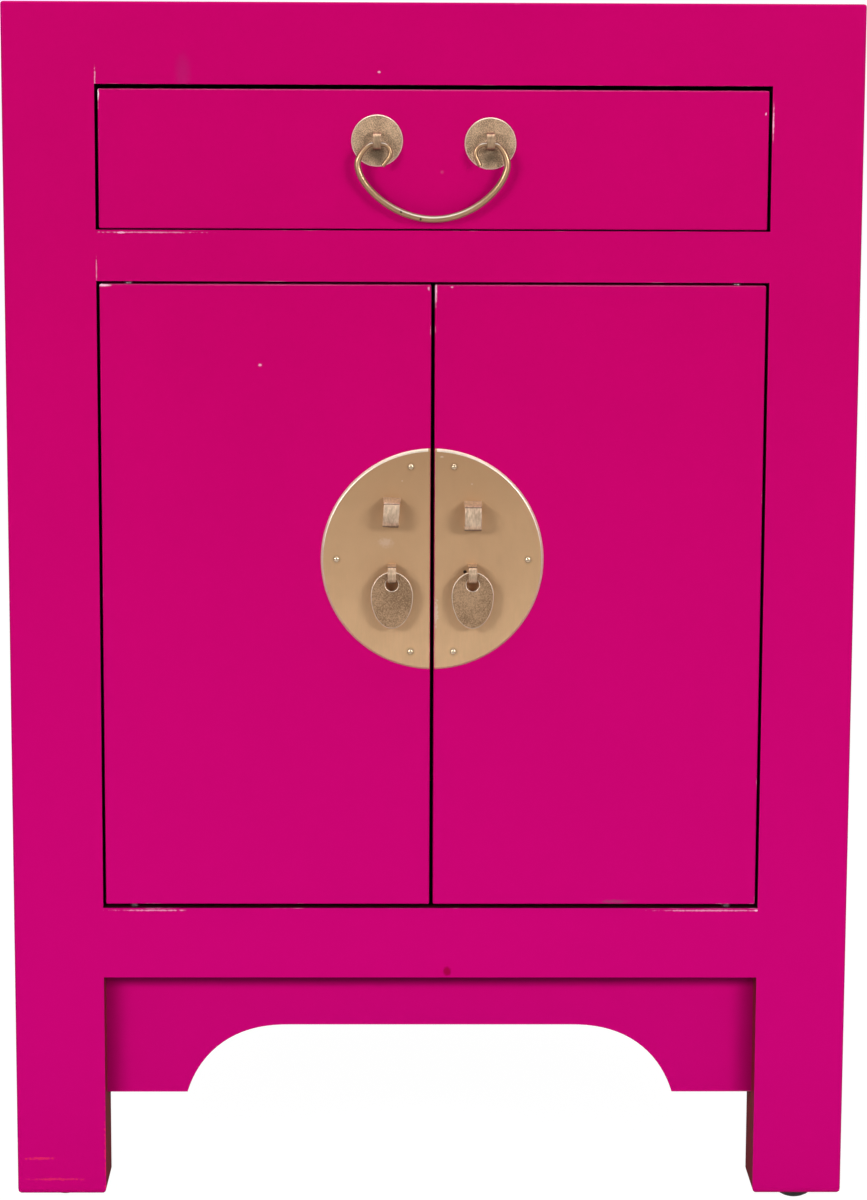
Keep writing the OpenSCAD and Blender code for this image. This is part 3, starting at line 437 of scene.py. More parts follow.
# %% Wood, steel and plastic
def wood(name, light, dark, along, rough, scale=60.0):
    """Wood whose grain runs along x, y or z."""
    material, tree, shader = new_finish(name)
    stretch = [0.07 if letter == along else 1.0 for letter in "xyz"]
    drawn = vector_node(tree, "MULTIPLY", object_place(tree), stretch)
    grain = noise(tree, drawn, scale * 4, 6.0, 0.65)
    broad = math_node(tree, "MULTIPLY", noise(tree, drawn, scale, 2.0, distortion=0.6), 0.5)
    tone = math_node(tree, "MULTIPLY_ADD", grain, 0.7, broad, clamp=True)
    tree.links.new(mix(tree, tone, dark, light), shader.inputs["Base Color"])
    tree.links.new(math_node(tree, "MULTIPLY_ADD", grain, 0.2, rough), shader.inputs["Roughness"])
    set_bump(tree, shader, grain, 0.3, 0.0002)
    return material


stained = wood("stained wood", (0.030, 0.014, 0.013, 1), (0.010, 0.005, 0.005, 1), "z", 0.45)
pale_wood = {a: wood("pale wood along " + a, (0.60, 0.40, 0.23, 1), (0.42, 0.26, 0.14, 1), a, 0.5)
             for a in "xy"}
OVERSPRAY = (0.19, 0.006, 0.045, 1)
BARE_DARK, BARE_LIGHT = (0.11, 0.004, 0.012, 1), (0.38, 0.034, 0.055, 1)


def hidden_edge(name, front):
    """Stain, red brown on the legs and near black above, with a veil of overspray at the front."""
    material, tree, shader = new_finish(name)
    shader.inputs["Specular IOR Level"].default_value = 0.05
    place = object_place(tree)
    depth = math_node(tree, "SUBTRACT", share_of(tree, place, "Y"), front)
    mist = noise(tree, place, 180.0, 5.0, 0.7)
    veil = math_node(tree, "MULTIPLY", slope(tree, depth, 0.016, 0.0, 0.0, 0.8), mist, clamp=True)
    on_leg = slope(tree, share_of(tree, place, "Z"), 0.125, 0.115)
    stain = mix(tree, on_leg, DARK_STAIN, mix(tree, mist, BARE_DARK, BARE_LIGHT))
    tree.links.new(mix(tree, veil, stain, OVERSPRAY), shader.inputs["Base Color"])
    tree.links.new(math_node(tree, "MULTIPLY_ADD", mist, 0.3, 0.45), shader.inputs["Roughness"])
    set_bump(tree, shader, mist, 0.3, 0.0002)
    return material


front_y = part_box("door_left")[0].y
edge_wood = hidden_edge("stained edges", front_y)


def plain(name, colour, metallic, rough, scale):
    """A plain stuff with a slight clouding."""
    material, tree, shader = new_finish(name)
    shader.inputs["Metallic"].default_value = metallic
    cloud = noise(tree, object_place(tree), scale, 5.0)
    dark = (*(0.6 * c for c in colour[:3]), 1)
    tree.links.new(mix(tree, cloud, dark, colour), shader.inputs["Base Color"])
    tree.links.new(math_node(tree, "MULTIPLY_ADD", cloud, 0.25, rough), shader.inputs["Roughness"])
    set_bump(tree, shader, cloud, 0.15, 0.0001)
    return material


steel = plain("turned steel", (0.55, 0.55, 0.56, 1), 1.0, 0.25, 400.0)
plastic = plain("black plastic", (0.02, 0.02, 0.021, 1), 0.0, 0.4, 500.0)

# %% [markdown]
# ## Brass
# The fittings are pale satin brass. The moon plate is drawn upright with a fine brush and is
# painted darker towards its top as painted shade, the rosettes and tags are matt and sandy, and
# the bail is smooth wire, with a painted highlight along its crest and painted shade on its
# sides. The rims are rubbed bright, with a painted highlight in their colour and painted shade
# towards their bottom. One function makes them all, with its own colours, scratch direction and
# roughness for each.

# %% Brass
# painted shade on the sides of the wire and the nail heads, and a painted highlight along the wire's crest
SIDE_SHADE_COLOUR, CREST_HIGHLIGHT_COLOUR = (0.16, 0.08, 0.045, 1), (1.0, 0.92, 0.78, 1)
CREST_HIGHLIGHT_WAY = (0.0, -0.85, 0.53)  # the way in which the wire's painted highlight faces


def brass(name, light, dark, rough, stretch=(1, 1, 1), scale=900.0, bump_height=0.00004, spots=(),
          sides=None, metal=0.8, grain=0.8, height_shade=None, turned=False):
    """Brass between two colours, with scratches of a scale that are drawn out by stretch.

    height_shade is (start height, end height, colour): painted shade that grows from the one
    height to the other. sides are the depths at which a painted shade on the sides begins and is
    full. On a turned piece they are shares of its stored normal instead of depths.
    """
    material, tree, shader = new_finish(name)
    shader.inputs["Metallic"].default_value = metal
    fine = use(tree, scratches, {"Stretch": stretch, "Scale": scale})
    tone = math_node(tree, "MULTIPLY_ADD", fine.outputs["Height"], grain, fine.outputs["Cloud"])
    middle = 0.5 + 0.5 * grain
    contrast = math_node(tree, "MULTIPLY_ADD", tone, 2.2, 0.5 - 2.2 * middle, clamp=True)
    colour = mix(tree, contrast, dark, light)
    where = object_place(tree)
    # painted shade: darker from the start height to the end height
    if height_shade:
        start, end, height_shade_colour = height_shade
        painted_height_shade = math_node(tree, "MULTIPLY", slope(tree, share_of(tree, where, "Z"), start, end), 0.85)
        colour = mix(tree, painted_height_shade, colour, height_shade_colour)
    colour = spotted(tree, colour, spots)
    if turned:
        # painted highlight along the wire's crest
        where = add(tree, "ShaderNodeAttribute", attribute_name="facing").outputs["Vector"]
        crest = vector_node(tree, "DOT_PRODUCT", where, CREST_HIGHLIGHT_WAY, "Value")
        crest_highlight = slope(tree, crest, 0.93, 0.985, 0.0, 0.9)
        colour = mix(tree, crest_highlight, colour, CREST_HIGHLIGHT_COLOUR)
    # painted shade on the sides
    if sides:
        side_shade = slope(tree, share_of(tree, where, "Y"), *sides, 0.0, 0.9)
        colour = mix(tree, side_shade, colour, SIDE_SHADE_COLOUR)
        if turned:
            side_shade = math_node(tree, "ADD", side_shade, crest_highlight, clamp=True)
        tree.links.new(math_node(tree, "MULTIPLY_ADD", side_shade, -metal, metal), shader.inputs["Metallic"])
    tree.links.new(colour, shader.inputs["Base Color"])
    rough = math_node(tree, "MULTIPLY_ADD", fine.outputs["Height"], 0.25, rough)
    tree.links.new(rough, shader.inputs["Roughness"])
    set_bump(tree, shader, fine.outputs["Height"], 0.5, bump_height)
    return material


tag_brass = brass("tag brass", (0.62, 0.40, 0.24, 1), (0.30, 0.18, 0.10, 1), 0.42, scale=2200.0,
                  bump_height=0.00006, grain=2.0)
plate_low, plate_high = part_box("moon_plate_left")
plate_z = (plate_low.z + plate_high.z) / 2
# the rim's bright colour is partly rubbed brass and partly a painted highlight, and height_shade paints it darker
# low down as painted shade
rim_wear_and_highlight_brass = brass("rubbed rim brass with painted highlight", (1.0, 0.86, 0.72, 1), (0.92, 0.77, 0.62, 1), 0.28,
                  bump_height=0.00003, metal=0.6,
                  height_shade=(plate_z + 0.02, plate_z - 0.05, (0.60, 0.42, 0.28, 1)))
print("two kinds of brass so far")


def give_rim_wear_and_highlight(piece, wanted):
    """Gives the faces that wanted picks the bright rim brass, rubbed and with a painted highlight."""
    activate(piece)
    piece.data.materials.append(rim_wear_and_highlight_brass)
    bpy.ops.object.mode_set(mode="EDIT")
    pick_faces(piece, wanted)
    piece.active_material_index = 1
    bpy.ops.object.material_slot_assign()
    bpy.ops.object.mode_set(mode="OBJECT")

# %% [markdown]
# ## Lacquered boards
# The measured boards have the right shape, but their mesh is loose triangles, so their rounded
# corners look cut in steps. Each gets a copy whose points are merged, whose corners are then
# shaded round, and whose faces towards a gap take the dark stain. The frame's front faces stay
# flush, so that posts and rails read as one lacquered face. The marks of use are listed board
# by board, with painted highlights along the top edges of the drawer and doors, and the painted
# shade that the rail and the legs throw on the front apron.

# %% Lacquered boards from the measured ones
def dressed(node, finishes, inner=None):
    """A merged copy of a measured part, with the first finish, and the second where inner says."""
    clear()
    board = bpy.data.objects.new(node + "_dressed", nodes[node].data.copy())
    bpy.context.scene.collection.objects.link(board)
    board.data.materials.clear()
    for finish in finishes:
        board.data.materials.append(finish)
    activate(board)
    bpy.ops.object.mode_set(mode="EDIT")
    bpy.ops.mesh.select_all(action="SELECT")
    bpy.ops.mesh.remove_doubles(threshold=0.000002)
    bpy.ops.mesh.dissolve_limited(angle_limit=math.radians(0.5))
    board.active_material_index = 0
    bpy.ops.object.material_slot_assign()
    if inner:
        pick_faces(board, inner)
        board.active_material_index = 1
        bpy.ops.object.material_slot_assign()
    bpy.ops.object.mode_set(mode="OBJECT")
    bpy.ops.object.shade_smooth_by_angle(angle=math.radians(35))
    even_shading(board)
    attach(board, body_of_node[node])
    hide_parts(node)
    return board


open_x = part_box("post_front_right")[0].x
# the pink is a painted highlight, the light that the rounded top edges of the drawer and doors catch
PALE, PALEST, PINK_EDGE_HIGHLIGHT = (0.95, 0.62, 0.78), (1, 0.85, 0.95), (0.95, 0.18, 0.42)
RED, BRIGHT_RED, RED_BROWN = (0.85, 0.03, 0.10), (0.90, 0.03, 0.08), (0.30, 0.0, 0.03)
PLUM, GREY_PLUM = (0.33, 0.02, 0.14), (0.20, 0.06, 0.12)
DEEP_SHADE, SHADE = (0.07, 0.0, 0.020), (0.27, 0.0, 0.06)
apron_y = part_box("apron_front")[0].y
drawer_high, door_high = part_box("drawer_front")[1].z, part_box("door_left")[1].z


def mark(x, z, wide, tall, colour, strength, soft=0.3, ragged=0.3, y=front_y):
    """A mark on a face at depth y: its place, half sizes in millimetres, colour and strength."""
    return (x, y, z), (wide * MM, 4 * MM, tall * MM), soft, ragged, (*colour, strength)


MARKS = {
    "bottom_rail_front": [
        mark(0.0083, 0.1222, 1.9, 2.2, RED_BROWN, 0.8, 0.35, 0.2),
        mark(-0.1400, 0.1538, 14, 0.3, PALE, 0.45, 0.5, 0.9),
        mark(0.1420, 0.1538, 22, 0.3, PALE, 0.45, 0.5, 0.9), mark(0.1642, 0.1538, 0.8, 0.5, PALE, 0.8)],
    "apron_front": [
        mark(0, 0.1178, 300, 4.8, DEEP_SHADE, 0.95, 0.8, 0.0, apron_y),
        mark(-0.1660, 0.09, 4.6, 300, SHADE, 0.55, 0.8, 0.0, apron_y),
        mark(0.1660, 0.09, 4.6, 300, SHADE, 0.55, 0.8, 0.0, apron_y)],
    "top_rail_front": [
        mark(-0.1218, 0.5708, 3.2, 7.5, PLUM, 0.3, 0.7, 0.3), mark(-0.0267, 0.5716, 0.7, 0.5, PALE, 0.5),
        mark(-0.1646, 0.5690, 0.3, 3.8, PALE, 0.4, 0.4, 0.9)],
    "middle_rail": [
        mark(-0.1400, 0.4938, 22, 0.25, PALE, 0.35, 0.5, 1.2),
        mark(-0.1526, 0.4937, 2.2, 0.4, PALE, 0.6, 0.4, 0.5),
        mark(-0.1648, 0.4750, 0.25, 6.0, PALE, 0.35, 0.4, 0.9)],
    "drawer_front": [
        # painted highlight along the drawer front's top edge
        mark(0, drawer_high - 0.0003, 160, 0.25, PINK_EDGE_HIGHLIGHT, 0.45, 0.8, 0.4),
        mark(-0.1633, 0.5605, 0.6, 2.6, PALEST, 0.95, 0.4, 0.2), mark(0.1618, 0.5521, 0.4, 0.7, PALE, 0.7),
        mark(0.0041, 0.5235, 0.7, 0.7, PALE, 0.05, 0.6, 0.3)],
    "door_left": [
        mark(-0.0850, 0.4290, 0.8, 0.6, PALE, 0.55), mark(-0.0022, 0.4668, 0.5, 0.9, PALE, 0.5, 0.5, 0.4),
        # painted highlight along the left door's top edge
        mark(-0.082, door_high - 0.0003, 80, 0.25, PINK_EDGE_HIGHLIGHT, 0.4, 0.8, 0.4),
        mark(-0.1620, 0.4680, 4.0, 0.6, PALE, 0.8, 0.5, 0.3)],
    "door_right": [
        # painted highlight along the right door's top edge
        mark(0.082, door_high - 0.0003, 80, 0.25, PINK_EDGE_HIGHLIGHT, 0.4, 0.8, 0.4),
        mark(0.0012, 0.4660, 0.6, 6.0, PALE, 0.8, 0.6, 0.4), mark(0.0092, 0.4675, 0.6, 0.4, PALE, 0.45),
        mark(0.0930, 0.1585, 6.0, 0.8, GREY_PLUM, 0.5, 0.6, 0.6)],
    "post_front_right": [mark(0.1655, 0.5480, 0.35, 7.0, PALE, 0.6, 0.5, 0.6)],
    "post_front_left": [
        mark(-0.1986, 0.0240, 7, 0.6, RED, 0.55, 0.4, 0.9),
        mark(-0.1900, 0.0130, 12, 0.6, RED, 0.45, 0.4, 0.9),
        mark(-0.1652, 0.0250, 0.30, 18, BRIGHT_RED, 0.5, 0.4, 3.0)],
}


BEYOND = 0.05  # carries a board's box past the edges that aren't rubbed


def faces_gap(middle, normal):
    """Picks a post's faces towards the drawer and doors, and those that look backwards."""
    inwards = abs(normal.x) > 0.7 and abs(abs(middle.x) - open_x) < 0.002
    return inwards or abs(normal.y) > 0.7 and middle.y > front_y + 0.02


def looks_inwards(middle, normal):
    return abs(normal.x) > 0.7 and normal.x * middle.x < 0


for node in ("post_front_left", "post_front_right"):
    low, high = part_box(node)
    paint = lacquer(node, [v - BEYOND for v in low], [v + BEYOND for v in high], 0.0002, 0.36)
    dressed(node, [paint, edge_wood], faces_gap)
for node in ("top_rail_front", "middle_rail", "bottom_rail_front"):
    low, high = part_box(node)
    free_low = low.z - (BEYOND if node == "bottom_rail_front" else 0)
    free_top = high.z + (BEYOND if node == "top_rail_front" else 0)
    paint = lacquer(node, (low.x - BEYOND, front_y, free_low), (high.x + BEYOND, high.y + BEYOND, free_top),
                    0.0002, 0.38)
    dressed(node, [paint, edge_wood], lambda m, n: abs(n.z) > 0.7 or n.y > 0.7)
low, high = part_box("top_board")
paint = lacquer("top_board", (low.x, low.y, low.z - BEYOND), tuple(high), 0.0004, 0.4)
dressed("top_board", [paint, stained], lambda m, n: n.z < -0.7)
for node in ("door_left", "door_right", "drawer_front"):
    low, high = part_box(node)
    paint = lacquer(node, tuple(low), tuple(high), 0.0003, 0.42)
    dressed(node, [paint, edge_wood], lambda m, n, back=high.y: n.y > 0.5 and m.y > back - 0.002)
for node in ("post_back_left", "post_back_right", "side_rail_top_left", "side_rail_top_right",
             "side_rail_bottom_left", "side_rail_bottom_right", "side_panel_left", "side_panel_right",
             "top_rail_back", "bottom_rail_back", "apron_front", "apron_left", "apron_right"):
    low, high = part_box(node)
    paint = lacquer(node, tuple(low), tuple(high), 0.0003, 0.33)
    dressed(node, [paint, edge_wood], (lambda m, n: n.y > 0.7) if "front" in node else looks_inwards)
print("lacquered boards done")

# %% Finishes on the parts that stay as measured
for node, obj in nodes.items():
    if obj.hide_render:
        continue
    paints = {"dark_wood": stained, "plastic": plastic, "steel": steel, "brass": tag_brass,
              "plain_wood": pale_wood["x" if node in ("drawer_back", "drawer_bottom") else "y"]}
    obj.data.materials.clear()
    obj.data.materials.append(paints.get(slot_of_node[node], stained))

# %% [markdown]
# ## The bail
# The drawer pull is one length of brass wire, thick in the middle and drawn thinner towards
# its ends, bent into a bow with a curl in each eye. A smith bends wire step by step, and so
# does this: a ring of points is extruded along the line, and turned and shrunk a little at
# every step. The same helper bends the flat straps of the eyes and loops. Each point of the
# wire then keeps the way it faces, and the finish reads that for a painted highlight along the
# crest and painted shade on the sides.

# %% A helper that bends wire and strap
def bend(line, plane, shares):
    """Extrudes the selected face of the active piece along a line that lies in one plane.

    plane is the axis across the line. Each step shrinks the section by its three shares.
    """
    axis = Vector((1, 0, 0)) if plane == "X" else Vector((0, 1, 0))
    heading = (line[1] - line[0]).normalized()
    for i in range(1, len(line)):
        after = line[min(i + 1, len(line) - 1)] - line[i]
        after = after.normalized() if after.length > 0 else heading
        here = (line[i] - line[i - 1]).normalized()
        new_heading = ((here + after) / 2).normalized()
        turn = math.atan2(axis.dot(heading.cross(new_heading)), heading.dot(new_heading))
        bpy.ops.mesh.extrude_region_move(TRANSFORM_OT_translate={"value": line[i] - line[i - 1]})
        bpy.ops.transform.rotate(value=-turn, orient_axis=plane, center_override=line[i])
        bpy.ops.transform.resize(value=shares[i - 1], center_override=line[i])
        heading = new_heading


def smooth_line(points, radii, steps=5):
    """A line through points in one plane whose corners are rounded to the given radii."""
    line = [points[0]]
    for before, corner, after, radius in zip(points, points[1:], points[2:], radii):
        if radius == 0:
            line.append(corner)
            continue
        a, b = (before - corner).normalized(), (after - corner).normalized()
        half = a.angle(b) / 2
        run = radius / math.tan(half)
        middle = corner + (a + b).normalized() * radius / math.sin(half)
        start, end = corner + a * run, corner + b * run
        from_start, sweep_angle = start - middle, math.pi - 2 * half
        across = (end - middle) - (end - middle).project(from_start)
        across = across.normalized() * radius
        for i in range(steps + 1):
            t = sweep_angle * i / steps
            line.append(middle + from_start * math.cos(t) + across * math.sin(t))
    return line + [points[-1]]


# %% The bail
def curve(a, b, c, d, steps):
    """Points of a smooth curve from a to d, pulled towards b and c."""
    return [(1 - t) ** 3 * a + 3 * t * (1 - t) ** 2 * b + 3 * t * t * (1 - t) * c + t ** 3 * d
            for t in (i / steps for i in range(1, steps + 1))]


pull_low, pull_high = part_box("pull_eye_right")
pull_x = (pull_low.x + pull_high.x) / 2
bail_low, bail_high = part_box("drawer_bail")
bail_y = (bail_low.y + bail_high.y) / 2
wire_z = next(j["pos_m"][2] for j in frame["joints"] if j["child"] == "bail")
BOW_DROP, BOW_WAIST = 36.1 * MM, 9.5 * MM
MIDDLE_R, WAIST_R, EYE_R = 1.70 * MM, 1.58 * MM, 1.15 * MM


def half_wire(half_width, level, curl_r, end_degrees, tip):
    """One half of the bail from its middle to its tip, as (x, height over the eyes' wire, radius).

    level is how far the curl's middle lies inside the eye, and tip the straight length at its end.
    """
    foot, waist = Vector((0, -BOW_DROP)), Vector((half_width, -BOW_WAIST))
    eye = Vector((pull_x + 2.5 * MM, 0))
    bow = curve(foot, foot + Vector((20 * MM, 0)), waist - Vector((0, 10 * MM)), waist, 30)
    knee = curve(waist, waist + Vector((0, 3.6 * MM)), eye + Vector((2.6 * MM, -0.3 * MM)), eye, 14)
    line = [(foot.x, foot.y, MIDDLE_R)]
    line += [(p.x, p.y, MIDDLE_R + (WAIST_R - MIDDLE_R) * i / 29) for i, p in enumerate(bow)]
    line += [(p.x, p.y, WAIST_R + (EYE_R - WAIST_R) * i / 13) for i, p in enumerate(knee)]
    middle = pull_x - level
    for i in range(19):
        a = math.radians(90 + (end_degrees - 90) * i / 18)
        line.append((middle - curl_r * math.cos(a), -curl_r + curl_r * math.sin(a), EYE_R))
    a = math.radians(end_degrees)
    line.append((line[-1][0] - tip * math.sin(a), line[-1][1] - tip * math.cos(a), EYE_R * 0.97))
    return line


# the two halves were bent by hand, so they aren't quite alike
left_half = [(-x, z, r) for x, z, r in half_wire(37.1 * MM, 2.4 * MM, 4.1 * MM, -38, 5 * MM)]
whole = left_half[:0:-1] + half_wire(35.8 * MM, 3.0 * MM, 4.4 * MM, -25, 4.6 * MM)
bail_line = [Vector((x, bail_y, wire_z + z)) for x, z, r in whole]
clear()
first_step = bail_line[1] - bail_line[0]
bpy.ops.mesh.primitive_circle_add(
    vertices=24, radius=whole[0][2], fill_type="NGON", location=bail_line[0],
    rotation=(0, math.atan2(first_step.x, first_step.z), 0))
bail = bpy.context.active_object
bpy.ops.object.transform_apply(location=True, rotation=True, scale=True)
bpy.ops.object.mode_set(mode="EDIT")
bpy.ops.mesh.select_all(action="SELECT")
bend(bail_line, "Y", [(r / q,) * 3 for (x, z, r), (a, b, q) in zip(whole[1:], whole)])
bpy.ops.object.mode_set(mode="OBJECT")
rounded(bail, 0.35 * MM, 2, 60)
nicks = [((x, bail_y - MIDDLE_R, z), (0.5 * MM, 2 * MM, 0.7 * MM), 0.5, 0.3, (0.05, 0.03, 0.02, 0.95))
         for x, z in ((-0.0159, 0.5045), (-0.0064, 0.5009))]
# the wire's finish has a painted highlight along its crest and painted shade on its sides; the nicks are real
bail.data.materials.append(brass(
    "wire brass", (0.60, 0.37, 0.21, 1), (0.54, 0.33, 0.18, 1), 0.20, scale=60.0, bump_height=0.000001,
    spots=nicks, sides=(-0.90, -0.62), metal=0.7, turned=True))
settle(bail, "drawer_bail", "bail_wire", 50)
facing = bail.data.attributes.new("facing", "FLOAT_VECTOR", "POINT")
for point, kept in zip(bail.data.vertices, facing.data):
    kept.vector = point.normal

# %% [markdown]
# ## Eyes and lock loops
# Each eye and each lock loop is a flat strap, folded over and pushed back through the door,
# where its ends are bent apart. The strap's cross-section is a small plane with its corners
# beveled, and it is bent along the side view of the fitting.

# %% Straps
def strap(name, node, x, widths, thick, points, radii, finish, lean=0.0):
    """Bends a strap along points of (y, z). Its widths are at the back and at the front."""
    line = smooth_line([Vector((x, y, z)) for y, z in points], radii)
    first = line[1] - line[0]
    foremost = min(p.y for p in line)

    def width_at(p):
        t = min(1, max(0, (plate_front - p.y) / (plate_front - foremost) * 1.8))
        return widths[0] + (widths[1] - widths[0]) * t

    clear()
    bpy.ops.mesh.primitive_plane_add(size=1, location=line[0], rotation=(math.atan2(-first.y, first.z), 0, 0))
    piece = bpy.context.active_object
    piece.scale = (width_at(line[0]), thick, 1)
    bpy.ops.object.transform_apply(location=True, rotation=True, scale=True)
    bpy.ops.object.mode_set(mode="EDIT")
    bpy.ops.mesh.select_all(action="SELECT")
    bpy.ops.mesh.bevel(offset=thick * 0.25, segments=3, affect="VERTICES")
    bend(line, "X", [(width_at(b) / width_at(a), 1, 1) for a, b in zip(line, line[1:])])
    if lean:
        pick_points(piece, lambda p: p.y < plate_front)
        top = max(p.z for p in line if p.y < plate_front)
        bpy.ops.transform.rotate(
            value=math.radians(-lean), orient_axis="Y", center_override=(x, foremost, top))
    bpy.ops.object.mode_set(mode="OBJECT")
    piece.data.materials.append(finish)
    return settle(piece, node, name, 50)


def eye(name, node, x, centre_y, centre_z, inner_r, widths, thick, back_y, finish):
    """A round eye on two level arms."""
    r = inner_r + thick / 2
    front = [(centre_y - r * math.sin(a), centre_z + r * math.cos(a))
             for a in [math.radians(d) for d in range(0, 181, 9)]]
    points = [(back_y, centre_z + r + CLENCH), (back_y, centre_z + r), *front,
              (back_y, centre_z - r), (back_y, centre_z - r - CLENCH)]
    radii = [thick * 0.6] + [0] * len(front) + [thick * 0.6]
    return strap(name, node, x, widths, thick, points, radii, finish)


def strap_finish(name, x, fold_y, fold_z, foot_z, half_w, light, dark):
    """Brass with a painted dark reflection across the strap at its fold and painted shade towards its foot."""
    # painted dark reflection at the fold and painted shade at the foot
    fold_reflection = ((x, fold_y, fold_z), (half_w * 3, 0.30 * MM, 0.30 * MM), 0.4, 0.1, (0.06, 0.03, 0.02, 0.9))
    foot_shade = ((x, fold_y, foot_z), (half_w * 3, 9 * MM, 1.0 * MM), 0.6, 0.1, (0.08, 0.04, 0.025, 0.8))
    return brass(name, light, dark, 0.30, (1, 0.3, 0.3), 1200.0, 0.00030, [fold_reflection, foot_shade], metal=0.55)


SIDES = ((-1, "left"), (1, "right"))
plate_front = plate_low.y
LOCK_X, CLENCH, LEFT_LEAN = 20 * MM, 5 * MM, 3.5
for k, side_name in SIDES:
    node = "pull_eye_" + side_name
    low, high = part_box(node)
    thick, inner_r = 1.3 * MM, 3.0 * MM
    middle_z, centre_y = (low.z + high.z) / 2, low.y + inner_r + thick
    paint = strap_finish("drawer eye " + side_name, k * pull_x, centre_y - 2.0 * MM, middle_z + 3.8 * MM,
                         middle_z - 4.5 * MM, 2.2 * MM, (0.58, 0.39, 0.24, 1), (0.25, 0.16, 0.10, 1))
    eye("drawer_eye_" + side_name, node, k * pull_x, centre_y, middle_z,
        inner_r, (4.4 * MM, 4.0 * MM), thick, high.y - thick / 2, paint)
    node = "tag_eye_" + side_name
    low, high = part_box(node)
    thick, inner_r = 1.0 * MM, 3.4 * MM
    middle_z, centre_y = (low.z + high.z) / 2, low.y + inner_r + thick
    paint = strap_finish("door eye " + side_name, k * LOCK_X, centre_y - 2.1 * MM, middle_z + 3.87 * MM,
                         middle_z - 4.8 * MM, 2.5 * MM, (0.88, 0.63, 0.43, 1), (0.44, 0.30, 0.19, 1))
    eye("door_eye_" + side_name, node, k * LOCK_X, centre_y, middle_z,
        inner_r, (5.2 * MM, 4.2 * MM), thick, high.y - thick / 2, paint)
    node = "lock_loop_" + side_name
    low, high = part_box(node)
    thick = 1.6 * MM
    top, bottom = high.z - CLENCH, low.z + CLENCH
    front, back = low.y + thick / 2, high.y - thick / 2
    points = [(back, top + CLENCH), (back, top), (plate_front, top), (front + 1.5 * MM, top - 1.5 * MM),
              (front + 0.3 * MM, top - 3.4 * MM), (front, top - 6.4 * MM),
              (front + 0.7 * MM, bottom + 2.7 * MM), (front + 3.2 * MM, bottom), (back, bottom),
              (back, bottom - CLENCH)]
    radii = [thick * 0.7, 2 * MM, 0.9 * MM, 2.4 * MM, 5 * MM, 2.4 * MM, 2.0 * MM, thick * 0.7]
    paint = strap_finish("lock loop " + side_name, k * LOCK_X, front + 0.75 * MM, top - 1.2 * MM,
                         bottom - thick / 2, 4.5 * MM, (0.90, 0.68, 0.48, 1), (0.46, 0.31, 0.21, 1))
    widths = (9 * MM, 7.9 * MM if k < 0 else 8.4 * MM)
    strap("lock_strap_" + side_name, node, k * LOCK_X, widths, thick, points, radii, paint,
          LEFT_LEAN if k < 0 else 0.0)

# %% [markdown]
# ## Moon plates and rosettes
# The round plate is cut in two at the gap between the doors. It starts as a disc, the bisect
# cuts it at the door's edge, and a wide soft bevel rounds its rim, which catches the ceiling
# light as a bright crescent, helped by a painted highlight in the rim's brass. The rosettes are
# small whole discs, with a painted shadow below the eye.

# %% Discs
GAP_ROUNDING, FACE_DROP = 0.15 * MM, 0.3 * MM


def disc(name, node, radius, thick, centre, rim, finish, cut=None):
    """A disc that faces the front, cut upright at x = cut, with a soft rim.

    A cut disc's front face is moved a little down, so its rim is broadest above.
    """
    clear()
    bpy.ops.mesh.primitive_cylinder_add(
        vertices=160, radius=radius, depth=thick, location=centre, rotation=(math.pi / 2, 0, 0))
    piece = bpy.context.active_object
    bpy.ops.object.transform_apply(location=True, rotation=True, scale=True)
    bpy.ops.object.mode_set(mode="EDIT")
    bpy.ops.mesh.select_all(action="SELECT")
    if cut is not None:
        bpy.ops.mesh.bisect(
            plane_co=(cut, 0, 0), plane_no=(1, 0, 0), use_fill=True,
            clear_inner=cut > 0, clear_outer=cut < 0)
    front = centre[1] - thick / 2
    for width, straight in ((rim, False), (GAP_ROUNDING, True)):
        if cut is None and straight:
            continue
        pick_edges(piece, lambda a, b: max(a.y, b.y) < front + 0.0001 and straight == (
            cut is not None and abs(a.x - cut) < 0.0001 and abs(b.x - cut) < 0.0001))
        bpy.ops.mesh.bevel(offset=width, segments=4, profile=0.5 if straight else 0.32, affect="EDGES")
    if cut is not None:
        pick_points(piece, lambda p: p.y < front + 0.00001)
        bpy.ops.transform.translate(value=(0, 0, -FACE_DROP))
    bpy.ops.object.mode_set(mode="OBJECT")
    piece.data.materials.append(finish)
    give_rim_wear_and_highlight(piece, lambda m, n: -0.97 < n.y < -0.1 and (cut is None or abs(m.x) > abs(cut) + 0.5 * MM))
    return settle(piece, node, name, 30)


NAIL_RING, NAIL_DEGREES = 47.5 * MM, (77, 0, -77)
ROSETTE_DROP = 0.6 * MM


def nail_place(k, degrees):
    a = math.radians(degrees)
    return k * NAIL_RING * math.cos(a), plate_z + NAIL_RING * math.sin(a)


SMEAR, SCRATCH, HOLE_SHADE = (0.95, 0.80, 0.68), (1.0, 0.88, 0.78), (0.02, 0.01, 0.008)
PLATE_MARKS = {
    "left": [mark(-0.0234, 0.3413, 3.0, 2.0, SMEAR, 0.25, 0.8, 0.9, plate_front),
             mark(-0.0150, 0.3720, 0.35, 0.35, SCRATCH, 0.4, y=plate_front)],
    "right": [mark(0.0018, 0.3060, 1.0, 5.0, SCRATCH, 0.35, 0.5, 1.6, plate_front),
              # painted shade of the hole beside the right door's eye
              mark(0.0163, 0.3266, 0.9, 0.9, HOLE_SHADE, 0.95, 0.3, 0.1, plate_front),
              mark(0.0042, 0.3840, 1.0, 0.35, SCRATCH, 0.35, 0.5, 1.2, plate_front),
              mark(0.0195, 0.3705, 0.5, 0.4, SCRATCH, 0.25, y=plate_front)]}
